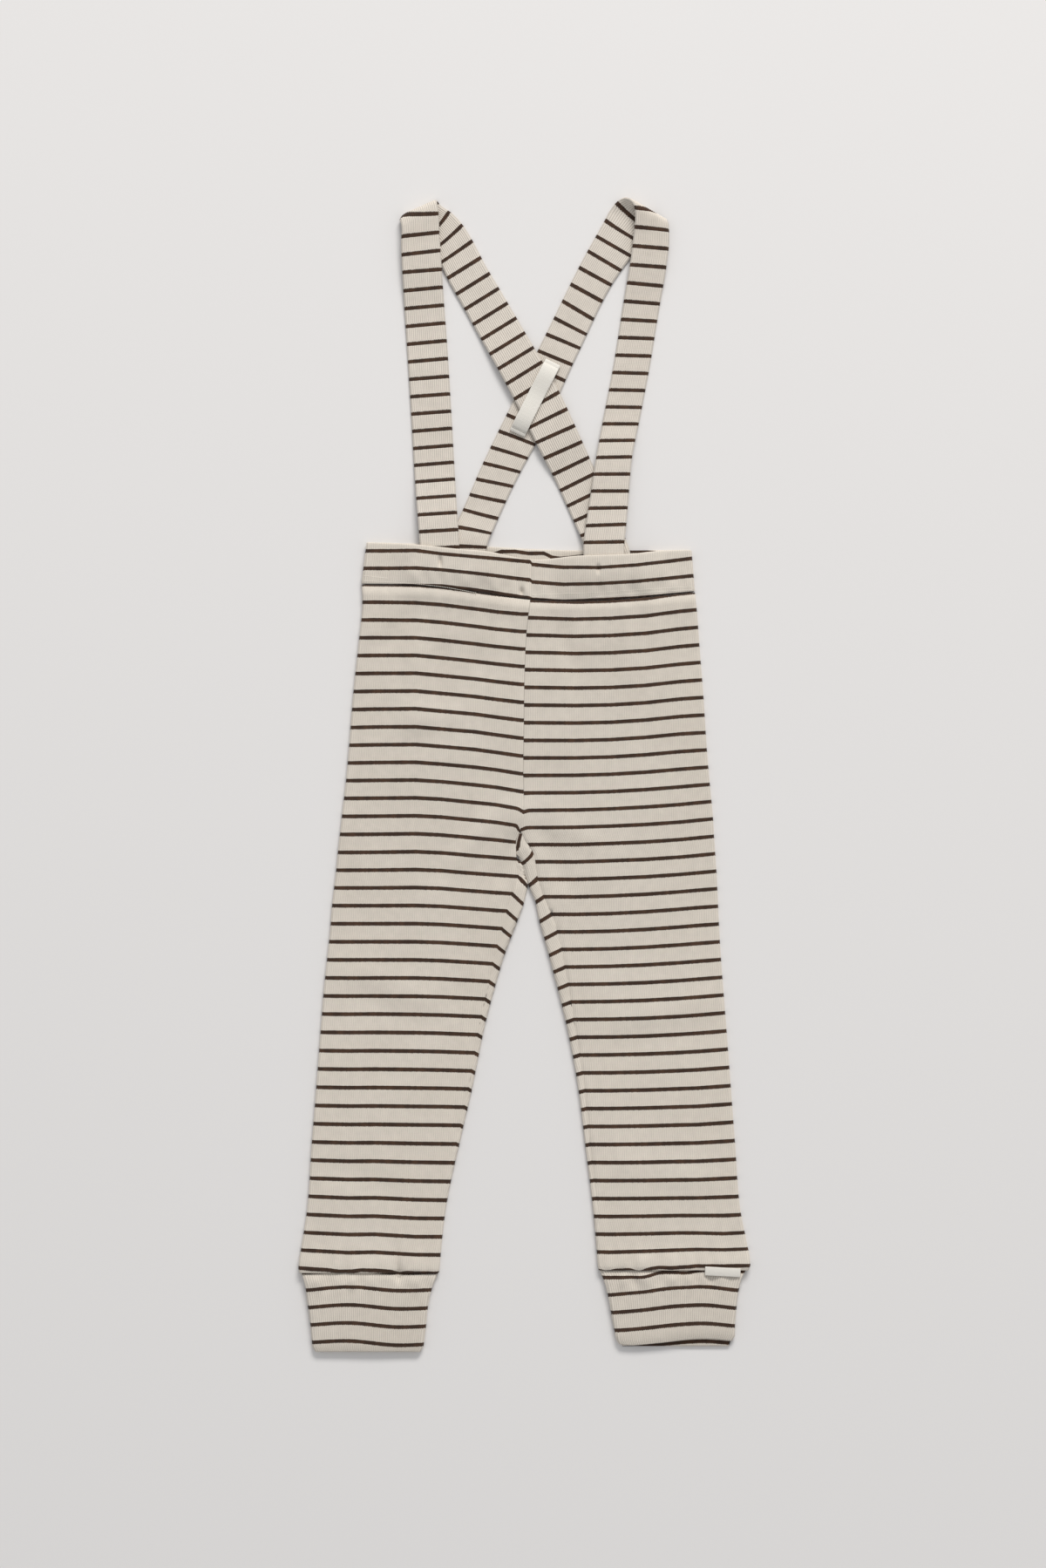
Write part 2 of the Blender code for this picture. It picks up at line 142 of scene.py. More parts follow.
# Legs below the crotch: y, x of the outer and inner fold, and how far the back rolls forward from there.
LEFT_TUBE = chart(
    (-302.4, -136.9, -51.9, 2.8),
    (-298.4, -137.3, -51.4, 2.8),
    (-288.9, -135.8, -50.6, 2.6),
    (-265.5, -132.2, -48.0, 2.3),
    (-223.1, -129.1, -39.1, 2.3),
    (-193.5, -126.7, -32.3, 2.4),
    (-150.5, -123.4, -23.4, 3.5),
    (-129.3, -121.7, -17.8, 4.4),
    (-108.7, -119.5, -11.6, 6.3),
    (-93.8, -117.9, -5.8, 8.2),
    (-80.0, -116.9, -0.8, 9.2),
    (-72.1, -116.0, 0.9, 8.3),
    (-66.2, -115.3, 1.7, 7.3),
    (-61.5, -114.7, 0.0, 4.0),
    (-53.5, -113.9, -2.7, 2.3),
)
RIGHT_TUBE = chart(
    (-300.8, 136.2, 45.1, 2.8),
    (-298.0, 137.3, 44.7, 2.8),
    (-288.9, 136.1, 43.9, 2.6),
    (-267.1, 131.7, 42.1, 2.3),
    (-223.1, 128.0, 36.8, 3.0),
    (-191.3, 125.6, 32.9, 3.8),
    (-148.9, 122.4, 24.9, 5.3),
    (-128.8, 120.8, 19.9, 7.1),
    (-108.7, 119.3, 14.6, 8.7),
    (-87.5, 118.1, 8.7, 9.1),
    (-76.3, 117.6, 6.5, 6.3),
    (-67.3, 117.2, 2.9, 6.6),
    (-61.0, 116.9, 1.5, 6.3),
    (-54.1, 116.4, 0.1, 6.7),
    (-47.7, 116.0, -3.3, 8.9),
    (-39.2, 115.4, -4.1, 4.2),
    (-36.0, 115.2, -3.7, 2.3),
)
# Cuffs: y, and x of both folds.
LEFT_CUFF = chart(
    (-350.6, -128.4, -61.7),
    (-334.5, -129.8, -59.6),
    (-323.3, -131.3, -58.6),
    (-310.0, -133.3, -55.4),
    (-302.9, -135.2, -52.6),
)
RIGHT_CUFF = chart(
    (-347.3, 56.2, 127.7),
    (-330.0, 53.3, 128.3),
    (-314.5, 50.3, 130.0),
    (-306.5, 48.0, 131.9),
    (-301.3, 45.9, 134.3),
)

# Straps, from the front waist over the fold to the back waist: both long edges, x y x y, and their heights.
LEFT_STRAP = chart(
    (-62.8, 124.8, -38.4, 124.8, 5.2, 5.2),
    (-63.6, 140.5, -39.5, 140.5, 5.2, 5.2),
    (-64.3, 151.0, -40.1, 151.0, 5.2, 5.2),
    (-65.2, 161.0, -40.8, 161.0, 4.3, 4.3),
    (-66.8, 183.0, -42.2, 183.0, 1.5, 1.5),
    (-68.6, 215.0, -44.0, 215.0, 0.9, 0.9),
    (-71.5, 262.0, -46.9, 262.0, 0.9, 0.9),
    (-73.0, 285.0, -48.6, 285.0, 1.4, 1.4),
    (-74.2, 306.0, -50.0, 306.0, 3.4, 3.4),
    (-74.9, 322.0, -51.4, 327.0, 3.9, 3.9),
    (-75.2, 335.6, -52.9, 346.8, 3.9, 4.6),
    (-75.6, 336.6, -53.3, 348.4, 3.4, 4.4),
    (-75.8, 337.0, -53.2, 349.0, 2.4, 2.9),
    (-75.6, 336.6, -52.6, 348.4, 1.4, 1.4),
    (-75.2, 335.6, -51.6, 347.0, 0.9, 0.9),
    (-65.5, 329.4, -44.3, 341.6, 0.9, 0.9),
    (-42.1, 292.8, -20.9, 305.0, 0.9, 0.9),
    (-28.9, 269.2, -7.2, 282.0, 1.2, 1.2),
    (-16.4, 246.8, 5.4, 260.4, 3.0, 3.0),
    (-2.4, 220.5, 19.3, 236.4, 3.0, 3.0),
    (10.0, 195.5, 33.0, 207.5, 3.0, 3.0),
    (18.3, 179.7, 40.5, 190.8, 1.1, 1.1),
    (26.8, 161.1, 49.0, 171.7, 0.9, 0.9),
    (32.0, 149.5, 54.4, 159.5, 1.7, 1.2),
    (36.0, 140.4, 58.8, 150.0, 3.0, 2.2),
    (39.0, 132.0, 62.3, 141.5, 3.0, 3.0),
    (43.7, 124.8, 67.0, 124.8, 3.0, 3.0),
)
RIGHT_STRAP = chart(
    (36.3, 124.8, 61.2, 124.8, 5.2, 5.2),
    (35.8, 139.4, 60.7, 138.3, 5.2, 5.2),
    (37.4, 152.1, 62.0, 152.1, 4.8, 4.8),
    (39.8, 168.0, 63.3, 168.0, 3.8, 3.8),
    (43.5, 192.4, 65.5, 192.4, 3.4, 3.4),
    (48.5, 219.4, 70.5, 217.8, 1.2, 1.2),
    (53.8, 246.7, 75.7, 244.9, 0.9, 0.9),
    (60.4, 288.3, 82.7, 287.3, 1.3, 1.3),
    (64.2, 311.0, 86.5, 309.5, 3.4, 3.2),
    (66.5, 330.0, 88.0, 325.5, 5.0, 3.8),
    (67.2, 340.0, 87.8, 331.5, 6.8, 3.9),
    (65.6, 346.9, 87.3, 335.4, 7.7, 3.5),
    (61.8, 350.0, 86.4, 336.6, 6.8, 2.4),
    (57.4, 348.9, 84.9, 335.4, 3.6, 1.3),
    (52.4, 343.5, 82.0, 331.0, 1.0, 0.9),
    (48.3, 336.0, 75.5, 326.0, 0.9, 0.9),
    (37.9, 317.5, 58.9, 306.3, 0.9, 0.9),
    (13.0, 267.7, 33.1, 257.1, 0.9, 0.9),
    (-10.9, 218.9, 10.3, 207.2, 0.9, 0.9),
    (-24.9, 190.0, -4.8, 179.1, 0.9, 0.9),
    (-38.1, 159.5, -18.3, 150.0, 1.2, 1.7),
    (-43.9, 147.0, -21.7, 142.2, 3.0, 3.0),
    (-46.0, 137.3, -23.3, 135.2, 3.0, 3.0),
    (-47.4, 124.8, -24.6, 124.8, 3.0, 3.0),
)
# The tape's middle line, from its upper end on the right strap, over the left strap, to its lower end.
TAPE = chart(
    (17.4, 250.5, 2.6),
    (15.6, 246.9, 4.6),
    (7.4, 230.8, 4.8),
    (-2.2, 211.6, 4.8),
    (-4.3, 207.3, 2.5),
)
TAPE_WIDTH = 10.0
# The tape is sewn down this far from its ends.
TAPE_SEAM = 2.6
# The tab lies on the seam between the right leg and its cuff.
TAB_SIZE = (21.5, 5.4)
TAB_PLACE = (120.4, -301.7, 5.1)
TAB_TURN = math.radians(-3.0)

# Stripes of the legs, counted from the seam to the waistband: y of a stripe's middle at each of these x.
LEFT_STRIPE_X = (-135.9, -106.8, -90.9, -66.0, -50.6, -29.9, -16.7, -1.9)
LEFT_STRIPES = chart(
    (0, 115.5, 115.5, 115.6, 115.2, 114.1, 111.4, 109.6, 108.2),
    (4, 72.3, 72.3, 72.5, 72.5, 71.1, 68.9, 67.3, 65.8),
    (8, 28.6, 28.6, 29.0, 29.2, 27.8, 26.1, 24.2, 22.2),
    (12, -14.3, -14.3, -14.2, -14.0, -14.8, -16.9, -18.3, -21.0),
    (15, -47.2, -47.2, -47.1, -46.7, -47.4, -49.2, -50.2, -51.4),
    (18, -79.5, -79.5, -79.5, -79.4, -79.9, -81.4, -82.4, -83.2),
    (24, -145.2, -145.4, -145.3, -145.5, -145.9, -146.8, -147.6, -148.4),
    (30, -211.8, -212.4, -212.3, -212.6, -212.7, -213.1, -213.3, -213.6),
    (34, -255.8, -257.1, -257.0, -258.1, -258.4, -258.6, -258.6, -258.6),
    (36, -277.9, -279.3, -279.1, -280.6, -280.6, -280.4, -280.4, -280.4),
    (38, -299.4, -301.3, -300.8, -302.3, -302.7, -303.2, -303.2, -303.2),
)
RIGHT_STRIPE_X = (-0.8, 31.0, 52.2, 73.4, 94.6, 105.2, 121.1, 134.4)
RIGHT_STRIPES = chart(
    (0, 106.1, 104.9, 105.5, 107.0, 110.0, 111.0, 111.6, 111.8),
    (4, 63.9, 63.3, 63.6, 64.8, 67.2, 68.1, 68.9, 69.4),
    (8, 20.9, 20.8, 21.3, 22.7, 24.8, 25.4, 26.0, 26.2),
    (12, -21.7, -21.4, -20.7, -19.6, -18.1, -17.0, -15.6, -15.4),
    (15, -52.8, -52.9, -52.2, -51.4, -50.0, -49.0, -47.4, -47.2),
    (18, -84.6, -84.8, -84.3, -83.2, -81.6, -80.7, -79.6, -79.2),
    (24, -148.9, -148.6, -148.4, -147.8, -146.7, -145.9, -144.6, -143.6),
    (30, -213.6, -213.6, -213.6, -213.3, -212.7, -212.5, -211.4, -210.4),
    (34, -257.3, -257.3, -257.5, -257.4, -257.1, -257.0, -256.5, -256.0),
    (36, -278.8, -278.8, -279.1, -278.8, -278.3, -278.4, -278.9, -278.2),
    (38, -300.0, -300.0, -300.9, -300.0, -298.9, -298.1, -298.1, -297.9),
)
# Slant of the stripes on the strip that rolls forward to the inseam: y, and fall for each millimetre.
LEFT_SLANT = chart((-234.0, 0.0), (-222.0, 0.5), (-150.0, 0.62), (-80.0, 0.74), (-53.0, 0.8))
RIGHT_SLANT = chart(
    (-269.0, 0.0),
    (-255.0, 0.15),
    (-150.0, 0.34),
    (-90.0, 0.5),
    (-74.0, 0.56),
    (-60.0, 0.62),
    (-51.0, 0.8),
    (-43.0, 1.2),
)
# How much higher the strip's stripes lie than the front's at the inseam: y and height.
LEFT_STRIP_SHIFT = chart((-80.0, 0.0), (-50.0, 0.0))
RIGHT_STRIP_SHIFT = chart((-66.0, 0.0), (-60.0, 1.4), (-54.0, 4.6), (-43.0, 6.8), (-36.0, 7.2))
# Small waves of the stripes at the ankle seams: x, y, how far they reach across, and how low they dip.
LEFT_WAVES = ((-76.3, -302.5, 3.6, 1.3), (-112.0, -302.0, 7.0, 0.5), (-98.0, -302.0, 5.0, -0.5))
RIGHT_WAVES = ((69.5, -300.8, 4.2, 1.6), (49.6, -300.8, 4.0, 1.0), (82.0, -300.8, 5.0, -0.6))
# How far the front's stripes dip at the centre seam, down to the crotch: y, left and right.
STRIPE_DIP = chart(
    (-40.0, 0.0, 1.2),
    (-36.5, 3.2, 0.8),
    (-31.0, 3.4, 1.8),
    (-22.0, 1.4, 1.0),
    (-10.0, 0.0, 0.0),
)

# The waistband's two whole stripes: x, then y of the upper and of the lower one.
BAND_STRIPES = chart(
    (-97.0, 135.9, 125.3),
    (-65.5, 135.9, 125.3),
    (-50.6, 134.0, 124.3),
    (-28.4, 132.0, 122.0),
    (3.7, 129.3, 118.2),
    (4.7, 127.7, 117.1),
    (23.9, 125.8, 115.5),
    (44.8, 125.6, 115.9),
    (68.6, 127.2, 117.3),
    (102.0, 131.4, 120.8),
)
# Cuff stripes: x, then y of the stripe at the seam, and of the first and third below it.
LEFT_CUFF_STRIPES = chart(
    (-135.0, -302.4, -313.2, -334.4),
    (-106.3, -301.2, -310.9, -332.8),
    (-76.6, -302.6, -313.2, -335.3),
    (-54.0, -302.2, -312.7, -334.6),
)
RIGHT_CUFF_STRIPES = chart(
    (46.9, -305.3, -316.3, -337.6),
    (60.7, -305.2, -315.0, -337.1),
    (73.4, -304.7, -313.8, -336.0),
    (83.0, -302.4, -312.4, -334.9),
    (89.3, -302.1, -311.6, -334.2),
    (97.8, -302.5, -311.1, -333.5),
    (107.9, -301.0, -310.8, -333.1),
    (129.1, -301.5, -313.0, -334.8),
)
# The back of the waistband: x, and y of its first stripe.
BACK_BAND_STRIPE = chart(
    (-97.0, 135.9),
    (-30.0, 134.0),
    (-18.4, 134.1),
    (-14.0, 135.6),
    (-5.6, 135.7),
    (2.4, 134.5),
    (11.9, 134.6),
    (17.0, 132.1),
    (22.5, 131.4),
    (28.4, 132.0),
    (45.0, 134.0),
    (67.0, 135.9),
    (84.0, 134.6),
    (102.0, 131.4),
)
# How much higher than its table each cuff's front hem lies: x and height.
LEFT_HEM = chart((-135.0, 0.0), (-54.0, 0.0))
RIGHT_HEM = chart(
    (54.9, 1.7),
    (63.7, 0.7),
    (82.9, 1.9),
    (97.8, 3.9),
    (108.9, 4.5),
    (120.0, 4.0),
    (127.5, 3.2),
)

# Strap stripes: a stripe's number, and its length from the front waist end, a quarter and three quarters
# across the strap.
LEFT_STRAP_STRIPES = chart(
    (-1.0, 2.0, 2.7),
    (1.0, 23.0, 23.7),
    (5.0, 64.0, 65.0),
    (9.0, 105.8, 106.7),
    (13.0, 148.7, 149.8),
    (17.0, 193.0, 192.9),
    (18.0, 205.0, 203.2),
    (19.0, 217.8, 213.7),
    (20.0, 230.3, 224.2),
    (21.0, 238.5, 234.7),
    (22.0, 247.4, 245.0),
    (23.0, 256.6, 255.6),
    (25.0, 278.1, 277.7),
    (27.0, 299.1, 298.8),
    (29.0, 320.0, 320.0),
    (31.0, 340.4, 340.8),
    (34.0, 371.0, 372.4),
    (38.0, 414.4, 414.3),
    (42.0, 456.0, 456.4),
    (45.0, 488.0, 488.0),
)
RIGHT_STRAP_STRIPES = chart(
    (-1.0, -5.0, -4.3),
    (1.0, 16.0, 16.7),
    (4.0, 47.7, 47.7),
    (8.0, 88.9, 89.5),
    (12.0, 131.3, 131.8),
    (17.0, 186.7, 186.6),
    (18.0, 197.7, 198.4),
    (19.0, 208.5, 210.7),
    (20.0, 218.5, 223.0),
    (21.0, 230.6, 235.1),
    (22.0, 241.9, 244.6),
    (24.0, 263.9, 264.5),
    (26.0, 286.4, 286.6),
    (27.0, 298.0, 298.6),
    (28.0, 309.1, 309.0),
    (29.0, 319.6, 318.6),
    (30.0, 330.9, 329.8),
    (31.0, 340.8, 340.2),
    (34.0, 374.3, 373.2),
    (38.0, 416.3, 413.1),
    (42.0, 457.5, 456.5),
    (45.0, 490.0, 488.0),
)

# Soft ridges (plus) and troughs (minus) of the fronts: x y of one end, x y of the other, width, height.
CREASES = (
    (-66.0, 75.0, -66.0, 30.0, 6.0, 0.9),
    (-50.6, 75.0, -50.0, 34.0, 5.0, -0.9),
    (-70.0, 34.0, -44.0, 36.0, 8.0, 1.7),
    (-64.0, 10.0, -34.0, 14.0, 7.0, 0.7),
    (-76.3, -306.0, -77.8, -290.0, 2.0, -1.5),
    (-76.3, -302.5, -76.3, -303.5, 3.5, -1.2),
    (-108.1, -302.0, -106.0, -294.0, 3.2, -1.3),
    (69.0, -304.0, 70.0, -294.0, 3.0, 1.1),
    (60.0, -303.0, 62.0, -296.0, 2.6, -1.1),
    (-12.0, 98.0, -26.0, 66.0, 6.0, -1.1),
    (-60.0, 104.0, -84.0, 82.0, 6.0, -0.9),
    (-92.0, 90.0, -70.0, 96.0, 7.0, 0.9),
    (-44.0, 88.0, -20.0, 84.0, 7.0, 0.8),
    (16.0, 96.0, 30.0, 66.0, 6.0, -1.0),
    (60.0, 100.0, 66.0, 60.0, 8.0, 0.8),
    (36.0, 82.0, 84.0, 88.0, 7.0, 0.8),
    (-10.0, -22.0, -5.0, -24.0, 7.5, 1.5),
    (-7.0, -40.0, -14.0, -62.0, 5.0, -1.5),
    (-22.0, -30.0, -40.0, -52.0, 7.0, 1.2),
    (-34.0, -24.0, -52.0, -60.0, 7.0, -0.8),
    (-20.0, 6.0, -24.0, -14.0, 6.0, -0.7),
    (10.0, -30.0, 24.0, -64.0, 7.0, -1.1),
    (8.0, -24.0, 40.0, -40.0, 7.0, 0.9),
    (-100.0, -120.0, -60.0, -138.0, 8.0, 0.9),
    (-96.0, -136.0, -58.0, -152.0, 7.0, -0.6),
    (60.0, -150.0, 108.0, -138.0, 8.0, 0.9),
    (56.0, -164.0, 100.0, -154.0, 7.0, -0.6),
    (-118.0, -240.0, -80.0, -252.0, 7.0, -0.8),
    (62.0, -236.0, 110.0, -246.0, 8.0, 0.9),
    (-51.1, 131.0, -51.1, 127.5, 1.3, -1.8),
    (44.8, 125.6, 44.8, 124.2, 1.3, -2.0),
    (-1.6, 111.8, -1.6, 110.0, 1.4, -1.8),
)

# Where the leg's cloth lies low and full beside the crotch: y, and how far it spreads.
LEFT_FULLNESS = chart((-80.0, 0.0), (-70.0, 0.4), (-63.0, 1.4), (-57.0, 2.6), (-50.0, 2.6), (-36.0, 0.0))
RIGHT_FULLNESS = chart(
    (-76.0, 0.0),
    (-68.0, 0.4),
    (-61.0, 1.6),
    (-54.0, 3.0),
    (-47.0, 2.4),
    (-39.0, 1.3),
    (-36.0, 0.9),
)

# Stripes lie this far apart where a table doesn't say, and are this many courses of loops apart.
STRIPE_PITCH = 10.8
COURSES_IN_STRIPE_PITCH = 13.0
# How far the front's dip at the centre seam and the ankle's small waves reach, across and along.
DIP_REACH, WAVE_REACH = 2.4, 4.0
# On the hidden back the stripes settle over this width, and start to below the crotch within this length.
SETTLE_WIDTH, SETTLE_START = 45.0, 24.0

# Each leg's tables, and the columns of CENTRE that hold its front and back edge.
LEG_TABLES = {
    LEFT: (LEFT_SEAT, LEFT_TUBE, LEFT_STRIPES, LEFT_STRIPE_X, LEFT_SLANT, LEFT_FULLNESS),
    RIGHT: (RIGHT_SEAT, RIGHT_TUBE, RIGHT_STRIPES, RIGHT_STRIPE_X, RIGHT_SLANT, RIGHT_FULLNESS),
}
STRIPE_CHANGES = {LEFT: (LEFT_STRIP_SHIFT, LEFT_WAVES), RIGHT: (RIGHT_STRIP_SHIFT, RIGHT_WAVES)}
SEAM_COLUMNS = {LEFT: (1, 2), RIGHT: (3, 4)}
# How many rows a leg has above the crotch and beside it, left and right, and below it, and y between the
# last two.
SEAT_ROWS, CROTCH_ROWS, TUBE_ROWS = (28, 25), (13, 19), 40
CROTCH_END = -80.0
# Heights of the last rows above the leg's end.
HEM_ROWS = np.array((3.0, 1.5, 0.5, 0.0))
# y where the ribs of the front start to spread to the crotch's width, and have spread.
RIB_SPREAD = (-110.0, -60.0)
# Rows of points up the waistband and up a cuff, and the distance between the rows along a strap.
BAND_ROWS, CUFF_ROWS, STRAP_ROW_PITCH = 18, 22, 2.0
# Depth of the grooves along the centre seam and the inseam, how far they reach, and the length over which
# the inseam's groove starts, from where its stripes begin to slant.
CENTRE_GROOVE, INSEAM_GROOVE, GROOVE_REACH = 0.38, 0.7, 1.3
GROOVE_START = (-5.0, 25.0)
# Low cloth spreads beside the inseam over this much of the back.
FULLNESS_REACH = 4.0
# The roll above the ankle seam: distance from the leg's end, reach and height.
ANKLE_ROLL = (3.2, 3.0, 1.1)
# The left leg's hollow at the crotch: x, y, reach across and along, and depth.
CROTCH_HOLLOW = (-0.7, -56.5, 3.4, 7.0, 2.4)
# Gathers: distance from the seam, spread and height.
ANKLE_GATHERS = (4.0, 5.0, 0.9)
WAIST_GATHERS = (-3.5, 4.5, 0.8)
BAND_GATHERS = (5.0, 5.0, 0.9)
CUFF_GATHERS = (-5.0, 4.5, 1.3)
# Cuffs: radius of the hem's corners, share of the height where the front's hem starts to differ, depth and
# reach of the groove at the seam, and how far down the hem rolls, over which length, and from where.
HEM_CORNER = 3.4
HEM_CHANGE = 0.55
CUFF_GROOVE, CUFF_GROOVE_REACH = 1.3, 2.0
HEM_ROLL, HEM_ROLL_REACH, HEM_ROLL_START = 0.75, 4.5, 0.5
# The waistband's own seam: x, depth and reach, and the length round the band that its ribs fill.
BAND_SEAM_X, BAND_GROOVE, BAND_GROOVE_REACH = 4.2, 0.5, 1.1
BAND_AROUND = 408.0
# The straps' fold: how far its end bulges on each strap, how far along the strap, and over which share of
# the strap's width the bulge begins.
LEFT_FOLD_BOW, RIGHT_FOLD_BOW, FOLD_REACH, FOLD_EDGE_SHARE = 2.0, 0.0, 9.0, 0.08
# Points along each long edge of a strap before its rows are spaced.
STRAP_EDGE_POINTS = 2400
# Where across a strap its stripes were measured first, and how far from there to the second place.
STRIPE_SHARE, STRIPE_SHARE_STEP = 0.235, 0.53
# The tape's and the tab's crown across, the tape's dent at its stitches, and the tab's arch along.
TAPE_CROWN, TAB_CROWN, TAPE_DENT, TAB_ARCH = 0.2, 0.25, 0.5, 0.25
TAPE_DENT_REACH = 0.7
# Points along the tape's middle line, and steps across and along the tape and the tab.
TAPE_POINTS, TAPE_STEPS, TAB_STEPS = 120, (20, 90), (14, 40)

RIBS_ON_STRAP = 19
# Heights across one rib, from its furrow, as shares of the rib's depth.
LEG_RIB_PROFILE = np.array((-0.62, 0.31, 0.31))
BAND_RIB_PROFILE = np.array((-0.6, 0.1, 0.4, 0.1))
LEG_RIB_COLUMNS, BAND_RIB_COLUMNS = len(LEG_RIB_PROFILE), len(BAND_RIB_PROFILE)
# The ribs of cuffs and straps are this many times as deep as the legs'.
CUFF_RIB_SHARE, STRAP_RIB_SHARE = 1.6, 1.9
# The legs' ribs fade out this close to an edge.
RIB_FADE = 0.9
# Angles of the points round a rounded edge.
EDGE_TURNS = np.linspace(0.0, math.pi, 6)[1:-1]

# Rows of waist stitches: the points that a row follows, on the front.
STITCH_ROWS = (
    ((-97.3, 120.8), (-81.9, 119.2)),
    ((-97.3, 117.7), (-72.9, 116.3), (-50.0, 114.0), (-28.4, 110.2)),
    ((5.0, 109.2), (45.3, 110.8), (80.0, 112.9), (102.0, 114.2)),
    ((38.9, 107.6), (45.3, 108.1), (80.0, 111.0), (102.0, 112.4)),
)
STITCH_LENGTH, STITCH_GAP = 0.78, 0.37
# Half of a thread's thickness, and how much slimmer it is at its ends.
THREAD_HALF, THREAD_TAPER = 0.22, 0.45
# How far a waist stitch and a tape stitch lie above the cloth, and how deep their ends sink.
WAIST_STITCH_LIFT, WAIST_STITCH_SINK = 0.05, 0.18
TAPE_STITCH_LIFT, TAPE_STITCH_SINK = 0.28, 0.15
# Stitches across the tape: where each starts, and its length.
TAPE_STITCHES, TAPE_STITCH_LENGTH = np.arange(-3.9, 3.0, 1.95), 1.6

# Knits: depth of the furrows in the bump in metres, the shade painted into them, and the darkening towards
# the seat.
KNIT_LOOKS = {
    "leg_rib": (0.00006, 0.15, 0.045),
    "band_rib": (0.00004, 0.2, 0.0),
    "strap_rib": (0.00004, 0.25, 0.0),
}
# y in metres between which the legs' knit darkens.
SEAT_SHADE_Y = (-0.22, 0.02)
# Unevenness of the yarn: noise scale of its fuzz, its slubs and its slow change of colour.
FUZZ, SLUB, CLOUD = 2600.0, 210.0, 22.0
# Widths of the tape's columns and threads, and of the tab's threads.
TAPE_COLUMN, TAPE_THREAD, TAB_THREAD = 1.15, 0.82, 0.42

# Cloth pieces by node: material slot, flat size and area in metres, and what each rests on.
SHEETS = {
    "leg_left": ("leg_rib", (0.226, 0.41), 0.0836, ["waistband"]),
    "leg_right": ("leg_rib", (0.226, 0.41), 0.0839, ["waistband"]),
    "waistband": ("band_rib", (0.405, 0.027), 0.0108, ["leg_left", "leg_right"]),
    "cuff_left": ("band_rib", (0.150, 0.0475), 0.0069, ["leg_left"]),
    "cuff_right": ("band_rib", (0.155, 0.046), 0.0070, ["leg_right"]),
    "strap_right": ("strap_rib", (0.024, 0.455), 0.0108, ["waistband"]),
    "strap_left": ("strap_rib", (0.025, 0.47), 0.0116, ["strap_right", "waistband"]),
    "keeper_tape": ("tape_weave", (0.010, 0.0495), 0.00049, ["strap_left", "strap_right"]),
    "label_tab": ("tape_weave", (0.0215, 0.0108), 0.000116, ["cuff_right"]),
}

# Stage, in metres: the floor, the camera, the window's size, place, aim and colour, and the room's light.
FLOOR_SIZE = 12.0
SENSOR_HEIGHT = 24.0
CAMERA_PLACE = (-0.0008, -0.0056)
WINDOW_SIZE = (2.6, 1.3)
WINDOW_PLACE = (0.9, 4.2, 2.75)
WINDOW_AIM = (0.0, -0.05, 0.0)
WINDOW_COLOUR = (1.0, 0.985, 0.96)
ROOM_COLOUR = (0.97, 0.985, 1.0, 1.0)


class LeggingsSettings(bpy.types.PropertyGroup):
    """Sizes and colours of the leggings."""

    rib_pitch: bpy.props.FloatProperty(
        name="Rib pitch",
        description="Distance from one rib to the next on the legs and the waistband",
        default=0.00115,
        min=0.0008,
        max=0.003,
        precision=5,
        unit="LENGTH",
    )
    cuff_rib_pitch: bpy.props.FloatProperty(
        name="Cuff rib pitch",
        description="Distance from one rib to the next on the cuffs",
        default=0.0013,
        min=0.0008,
        max=0.003,
        precision=5,
        unit="LENGTH",
    )
    rib_depth: bpy.props.FloatProperty(
        name="Rib depth",
        description="Depth of the furrow between two ribs",
        default=0.0002,
        min=0.0,
        max=0.0005,
        precision=5,
        unit="LENGTH",
    )
    stripe_width: bpy.props.FloatProperty(
        name="Stripe width",
        description="Height of a dark stripe along the ribs",
        default=0.00235,
        min=0.001,
        max=0.008,
        precision=5,
        unit="LENGTH",
    )
    oat_colour: bpy.props.FloatVectorProperty(
        name="Oat yarn",
        description="Ground colour of the legs, waistband and cuffs",
        default=(0.735, 0.662, 0.572),
        subtype="COLOR",
        min=0.0,
        max=1.0,
    )
    pale_colour: bpy.props.FloatVectorProperty(
        name="Pale yarn",
        description="Ground colour of the straps",
        default=(0.775, 0.70, 0.612),
        subtype="COLOR",
        min=0.0,
        max=1.0,
    )
    stripe_colour: bpy.props.FloatVectorProperty(
        name="Brown yarn",
        description="Colour of the stripes",
        default=(0.046, 0.0215, 0.0105),
        subtype="COLOR",
        min=0.0,
        max=1.0,
    )
    tape_colour: bpy.props.FloatVectorProperty(
        name="Tape cotton",
        description="Colour of the keeper tape and the tab",
        default=(0.86, 0.82, 0.75),
        subtype="COLOR",
        min=0.0,
        max=1.0,
    )
    thread_colour: bpy.props.FloatVectorProperty(
        name="Thread",
        description="Colour of the sewing thread",
        default=(0.84, 0.79, 0.70),
        subtype="COLOR",
        min=0.0,
        max=1.0,
    )


class StageSettings(bpy.types.PropertyGroup):
    """Floor, light and camera."""

    floor_colour: bpy.props.FloatVectorProperty(
        name="Floor",
        description="Colour of the plain floor",
        default=(0.805, 0.785, 0.775),
        subtype="COLOR",
        min=0.0,
        max=1.0,
    )
    camera_height: bpy.props.FloatProperty(
        name="Camera height",
        description="Height of the camera above the floor",
        default=2.6,
        min=1.0,
        max=10.0,
        unit="LENGTH",
    )
    view_height: bpy.props.FloatProperty(
        name="View height",
        description="Length of floor from the bottom to the top of the picture",
        default=0.9535,
        min=0.5,
        max=3.0,
        unit="LENGTH",
    )
    light_power: bpy.props.FloatProperty(
        name="Window light",
        description="Power of the large soft light above the straps",
        default=208.0,
        min=0.0,
        max=500.0,
        unit="POWER",
    )
    fill_strength: bpy.props.FloatProperty(
        name="Room light",
        description="Strength of the even light from all round",
        default=0.52,
        min=0.0,
        max=5.0,
    )


